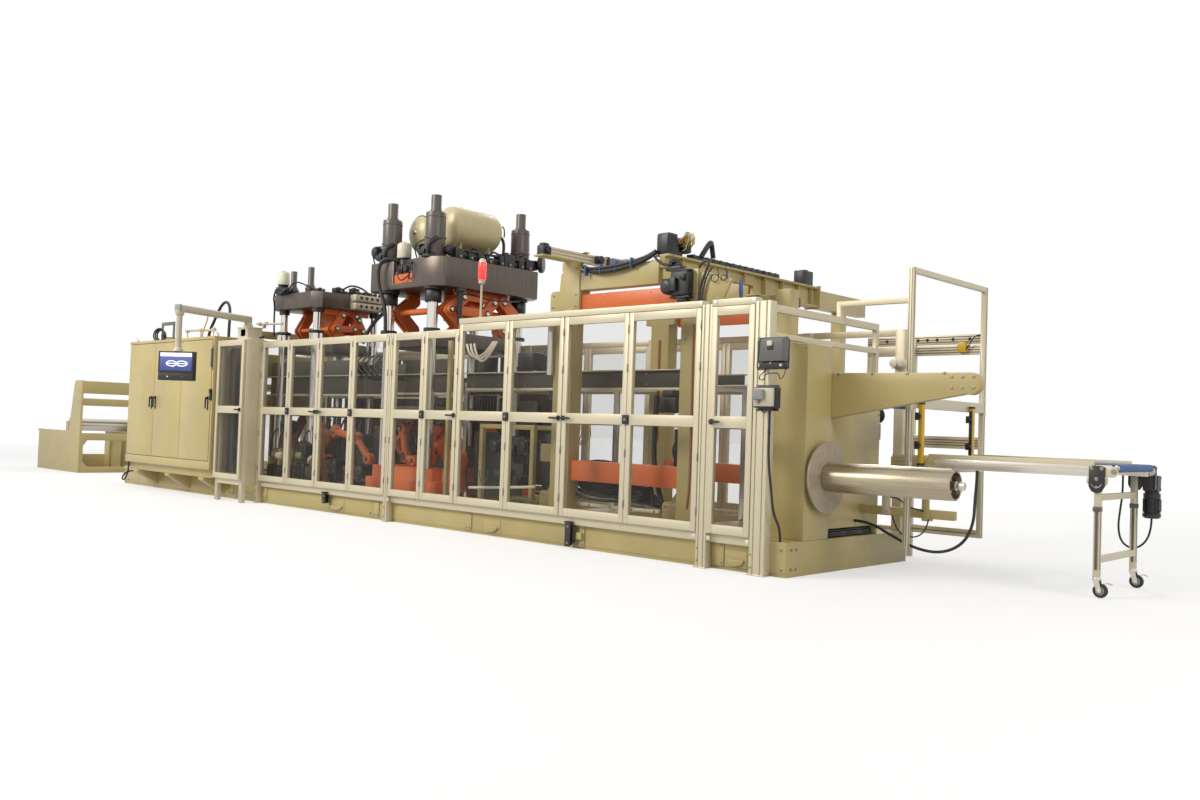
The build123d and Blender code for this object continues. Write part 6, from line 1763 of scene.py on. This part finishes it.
marks += [lathe((8.098, 0.163, 0.914), (8.098, 0.156, 0.914),
                [(0, 0.02), (0.5, 0.02), (0.55, 0.013), (1, 0.012)], 28),
          lathe((8.035, 0.163, 0.914), (8.035, 0.16, 0.914), [(0, 0.008), (1, 0.006)], 16)]
piece("conveyor_bolts", marks, BOLT)
motor_x, motor_y = 8.075, 1.16
drive = [box((8.036, 8.114), (1.046, 1.11), (0.762, 0.958), 0.006),
         box((8.022, 8.128), (1.11, 1.214), (0.752, 0.878), 0.01, 3),
         box((8.114, 8.124), (1.055, 1.105), (0.77, 0.95), 0.002),
         lathe((motor_x, motor_y, 0.756), (motor_x, motor_y, 0.7), stepped(0.052, 0.3, 0.062, 0.35), 40),
         lathe((motor_x, motor_y, 0.7), (motor_x, motor_y, 0.56), [(0, 0.056), (1, 0.056)], 40),
         lathe((motor_x, motor_y, 0.585), (motor_x, motor_y, 0.541),
               [(0, 0.058), (0.1, 0.066), (0.7, 0.066), (1, 0.05)], 40),
         box((8.11, 8.138), (1.13, 1.195), (0.6, 0.69), 0.006)]
for index in range(14):
    angle = math.tau * index / 14
    fin = box((8.13, 8.14), (1.1585, 1.1615), (0.59, 0.696), 0.001)
    drive += spun([fin], (motor_x, motor_y, 0.65), math.degrees(angle))
piece("conveyor_gearmotor", drive, BLACK, replaces=("conveyor_drive",))
screws = bolts(
    [(8.128, y, z) for y, z in ((1.125, 0.77), (1.2, 0.77), (1.125, 0.86), (1.2, 0.86))], DISCHARGE, 0.005)
screws += bolts(
    [(8.124, y, z) for y, z in ((1.065, 0.785), (1.095, 0.785), (1.065, 0.935), (1.095, 0.935))], DISCHARGE,
    0.0045)
piece("conveyor_drive_screws", screws, BOLT)


def span(node):
    """The low and high corners of a CAD node."""
    places = [vertex.co for vertex in nodes[node].data.vertices]
    return [Vector([pick(place[axis] for place in places) for axis in range(3)]) for pick in (min, max)]


for side in ("near", "far"):
    low, high = span(side + "_caster_wheel")
    x, y, z, radius = (low.x + high.x) / 2, (low.y + high.y) / 2, (low.z + high.z) / 2, (high.z - low.z) / 2
    tyre = lathe(
        (x, low.y, z), (x, high.y, z),
        [(0, radius * 0.6), (0, radius * 0.88), (0.2, radius * 0.985), (0.35, radius), (0.65, radius),
         (0.8, radius * 0.985), (1, radius * 0.88), (1, radius * 0.6)], 56)
    piece(side + "_tyre", [tyre], (tyre_rubber, "caster_rubber"), side + "_wheel",
          (side + "_caster_wheel",))
    hub = lathe(
        (x, low.y - 0.001, z), (x, high.y + 0.001, z),
        [(0, 0.012), (0, radius * 0.58), (0.08, radius * 0.62), (0.12, radius * 0.36),
         (0.88, radius * 0.36), (0.92, radius * 0.62), (1, radius * 0.58), (1, 0.012)], 40)
    piece(side + "_hub", [hub], GREY_PLASTIC, side + "_wheel")
    refined(side + "_caster_fork", 0.0015)
    low, high = span(side + "_caster_fork")
    brake = [slab([(x + 0.012, 0.1), (x + 0.05, 0.104), (x + 0.082, 0.096), (x + 0.088, 0.101),
                   (x + 0.052, 0.113), (x + 0.012, 0.11)], 1, y - 0.012, y + 0.012, 0.002),
             lathe((x, low.y - 0.004, z), (x, high.y + 0.004, z), drum(0.006, 0.009, 0.006, 0.03), 20)]
    piece(side + "_brake", brake, BRIGHT, side + "_caster")
low, high = span("conveyor_stand")
lines = []
# On each upright the two thin dark strips are painted shade in its slots, and the block on top is a dark
# end cap.
for y in (low.y, high.y - 0.045):
    lines += [box((8.0075, 8.0085), (y + 0.018, y + 0.027), (0.2, 0.62), 0),
              box((7.976, 7.994), (y - 0.0006, y + 0.0004), (0.2, 0.62), 0)]
    lines += [box((7.958, 8.012), (y - 0.004, y + 0.049), (0.62, 0.655), 0.003)]
piece("stand_slot_shade_and_caps", lines, DARK)
print("conveyor dressed")

# %% [markdown]
# ## Linkages low in the presses
# Behind the lower panes the photograph shows orange links with steel pins, dark drives and, further
# back, a wall of pale covers.

# %% Build the low linkages and the pale covers
def link(near, far, radius, depth=0.045):
    """An arm between two round bosses, in a plane along the machine."""
    (x1, y, z1), (x2, _, z2) = near, far
    parts = [bar((x1, y, z1), (x2, y, z2), radius * 0.62, 0.004, 20)]
    for x, z in ((x1, z1), (x2, z2)):
        parts.append(
            lathe((x, y - depth, z), (x, y + depth, z), drum(radius * 0.86, radius, radius * 0.86, 0.12),
                  36))
    return parts


links, pins, covers, low_drives = [], [], [], []
for (x1, z1), (x2, z2), radius in (
        ((-0.93, 0.95), (-0.46, 0.88), 0.075), ((-0.46, 0.88), (-0.18, 0.64), 0.07),
        ((-1.36, 0.98), (-1.3, 0.62), 0.06), ((0.5, 1.02), (0.56, 0.7), 0.07),
        ((0.56, 0.7), (0.74, 0.66), 0.06), ((1.08, 1.02), (1.02, 0.7), 0.07)):
    links += link((x1, -0.5, z1), (x2, -0.5, z2), radius)
    for x, z in ((x1, z1), (x2, z2)):
        pins.append(
            lathe((x, -0.575, z), (x, -0.43, z),
                  [(0, radius * 0.36), (0.06, radius * 0.45), (1, radius * 0.45)], 28))
for x, low, high in ((-0.98, 0.42, 0.6), (-0.62, 0.3, 0.54), (1.34, 0.34, 0.6), (-1.72, 0.3, 0.52)):
    (links if x > 0 else low_drives).append(box((x, x + 0.2), (-0.58, -0.4), (low, high), 0.012, 3))
    pins += bolts(
        [(x + dx, -0.58, z) for dx in (0.03, 0.17) for z in (low + 0.03, high - 0.03)], FRONT, 0.01)
for x, z, size in ((-1.6, 0.7, 0.11), (-0.3, 0.46, 0.1), (1.5, 0.7, 0.12), (-2.02, 0.98, 0.09)):
    (links if x > 0 else low_drives).append(
        lathe((x, -0.6, z), (x, -0.44, z), [(0, size * 0.7), (0.15, size), (1, size)], 40))
    pins += bolts(around((x, -0.6, z), size * 0.66, turns(6), 1), FRONT, 0.008)
piece("low_links", links, ORANGE)
piece("low_drives", low_drives, BLACK)
piece("low_pins", pins, BOLT)
for k in range(8):
    x = -2.05 + 0.44 * k
    covers.append(box((x, x + 0.41), (0.715, 0.745), (1.06, 1.4), 0.006))
    covers.append(box((x + 0.06, x + 0.18), (0.69, 0.715), (1.12 + 0.02 * (k % 3), 1.24), 0.004))
    covers.append(box((x + 0.24, x + 0.33), (0.68, 0.715), (1.2, 1.32 - 0.02 * (k % 2)), 0.004))
piece("pale_covers", covers, COVER)
cover_screws = bolts(
    [(-2.05 + 0.44 * k + dx, 0.715, z) for k in range(8) for dx in (0.025, 0.385) for z in (1.09, 1.37)],
    FRONT, 0.008)
piece("pale_cover_screws", cover_screws, BOLT)
print("low linkages built")

# %% [markdown]
# ## Unwind stand and the rear of the base
# Ribs stiffen the inside of the stand and bolts hold it together. Along the rear of the base sit the
# same joint plates as at the front.

# %% Dress the unwind stand and the rear of the base
ribs, stand_bolts = [], []
for side in (-1, 1):
    face = side * 0.62
    for x in (-10.62, -10.06, -9.5):
        ribs.append(
            box((x, x + 0.01), sorted((face - side * 0.012, face - side * 0.052)), (0.03, 0.68), 0.002))
    ribs.append(
        box((-10.93, -9.0), sorted((face - side * 0.012, face - side * 0.045)), (0.012, 0.024), 0.002))
    stand_bolts += bolts(
        [(x, face, 0.1) for x in (-10.85, -10.45, -9.85, -9.25, -9.02)], (0, side, 0), 0.014)
    stand_bolts += bolts(
        [(x, face, z) for x in (-9.1, -9.02) for z in (1.25, 1.29, 1.45, 1.5)], (0, side, 0), 0.012)
    stand_bolts += bolts([(x, side * 0.59, 0.74) for x in (-10.8, -10.5, -10.1, -9.9, -9.6)], UP, 0.01)
rear_plates = []
for x in (-5.9, -3.0, -0.1, 2.9, 5.6):
    rear_plates.append(box((x, x + 0.11), (0.975, 0.982), (0.06, 0.25), 0.003))
    stand_bolts += bolts([(x + dx, 0.982, z) for dx in (0.025, 0.085) for z in (0.09, 0.22)], REAR, 0.012)
piece("unwind_ribs", ribs, CREAM)
piece("rear_joint_plates", rear_plates, CREAM)
piece("unwind_bolts", stand_bolts, BRIGHT)
print("unwind stand and rear dressed")

# %% [markdown]
# ## Light and floor
# The studio is plain: a pale floor, a bright surround and a broad soft lamp high on the operator side,
# with two weaker ones off the discharge end and behind the machine.

# %% Light the studio
world = bpy.data.worlds.new("studio")
bpy.context.scene.world = world
world.use_nodes = True
sky = world.node_tree.nodes
path = sky.new("ShaderNodeLightPath")
background = sky["Background"]
background.inputs["Color"].default_value = (1.0, 1.0, 1.0, 1.0)
strength = sky.new("ShaderNodeMapRange")
strength.inputs["To Min"].default_value = 0.5
wire_up = world.node_tree.links.new
seen = path.outputs["Is Camera Ray"]
for ray in ("Is Glossy Ray", "Is Transmission Ray"):
    either = sky.new("ShaderNodeMath")
    either.operation = "MAXIMUM"
    wire_up(seen, either.inputs[0])
    wire_up(path.outputs[ray], either.inputs[1])
    seen = either.outputs[0]
wire_up(seen, strength.inputs["Value"])
wire_up(strength.outputs["Result"], background.inputs["Strength"])

for name, place, aim, size, power in (
        ("key", (-4.0, -14.0, 11.0), (1.5, 0.0, 1.2), 8.0, 1950.0),
        ("end", (17.0, -3.0, 8.0), (5.0, 0.0, 1.2), 5.0, 420.0),
        ("rear", (-4.0, 13.0, 10.0), (0.0, 0.0, 1.2), 9.0, 700.0)):
    lamp_data = bpy.data.lights.new(name, "AREA")
    lamp_data.shape, lamp_data.size, lamp_data.energy = "DISK", size, power
    lamp_data.color = (1.0, 0.96, 0.88)
    lamp = bpy.data.objects.new(name, lamp_data)
    bpy.context.scene.collection.objects.link(lamp)
    lamp.location = place
    lamp.rotation_euler = (Vector(place) - Vector(aim)).to_track_quat("Z", "Y").to_euler()

bpy.ops.mesh.primitive_plane_add(size=160.0, location=(0.0, 0.0, -0.001))
floor = bpy.context.object
floor.name = "studio_floor"
floor_look = Recipe("studio_floor_look", Roughness=0.9, Emission_Strength=1.0)
rays = floor_look.node("ShaderNodeLightPath", {}, {})
glossy = Sock(floor_look, rays.socket.node.outputs["Is Glossy Ray"])
through = Sock(floor_look, rays.socket.node.outputs["Is Transmission Ray"])
flat = floor_look.node(
    "ShaderNodeVectorMath", {"operation": "LENGTH"}, {0: floor_look.stretched(0.8, 1.3, 1.0)}, 1)
distant = flat.between(9.0, 30.0)
eye = rays.maths("MAXIMUM", rays.maths("MAXIMUM", rays, glossy), through)
floor_look.feed(
    Base_Color=floor_look.mix(distant, (0.5, 0.5, 0.5), (0.0, 0.0, 0.0)),
    Emission_Color=floor_look.mix(eye * (0.5 + distant * 0.5), (0.0, 0.0, 0.0), (1.0, 1.0, 1.0)))
wear(floor, floor_look.material)
bpy.context.scene.view_settings.view_transform = "Standard"
print("studio lit")
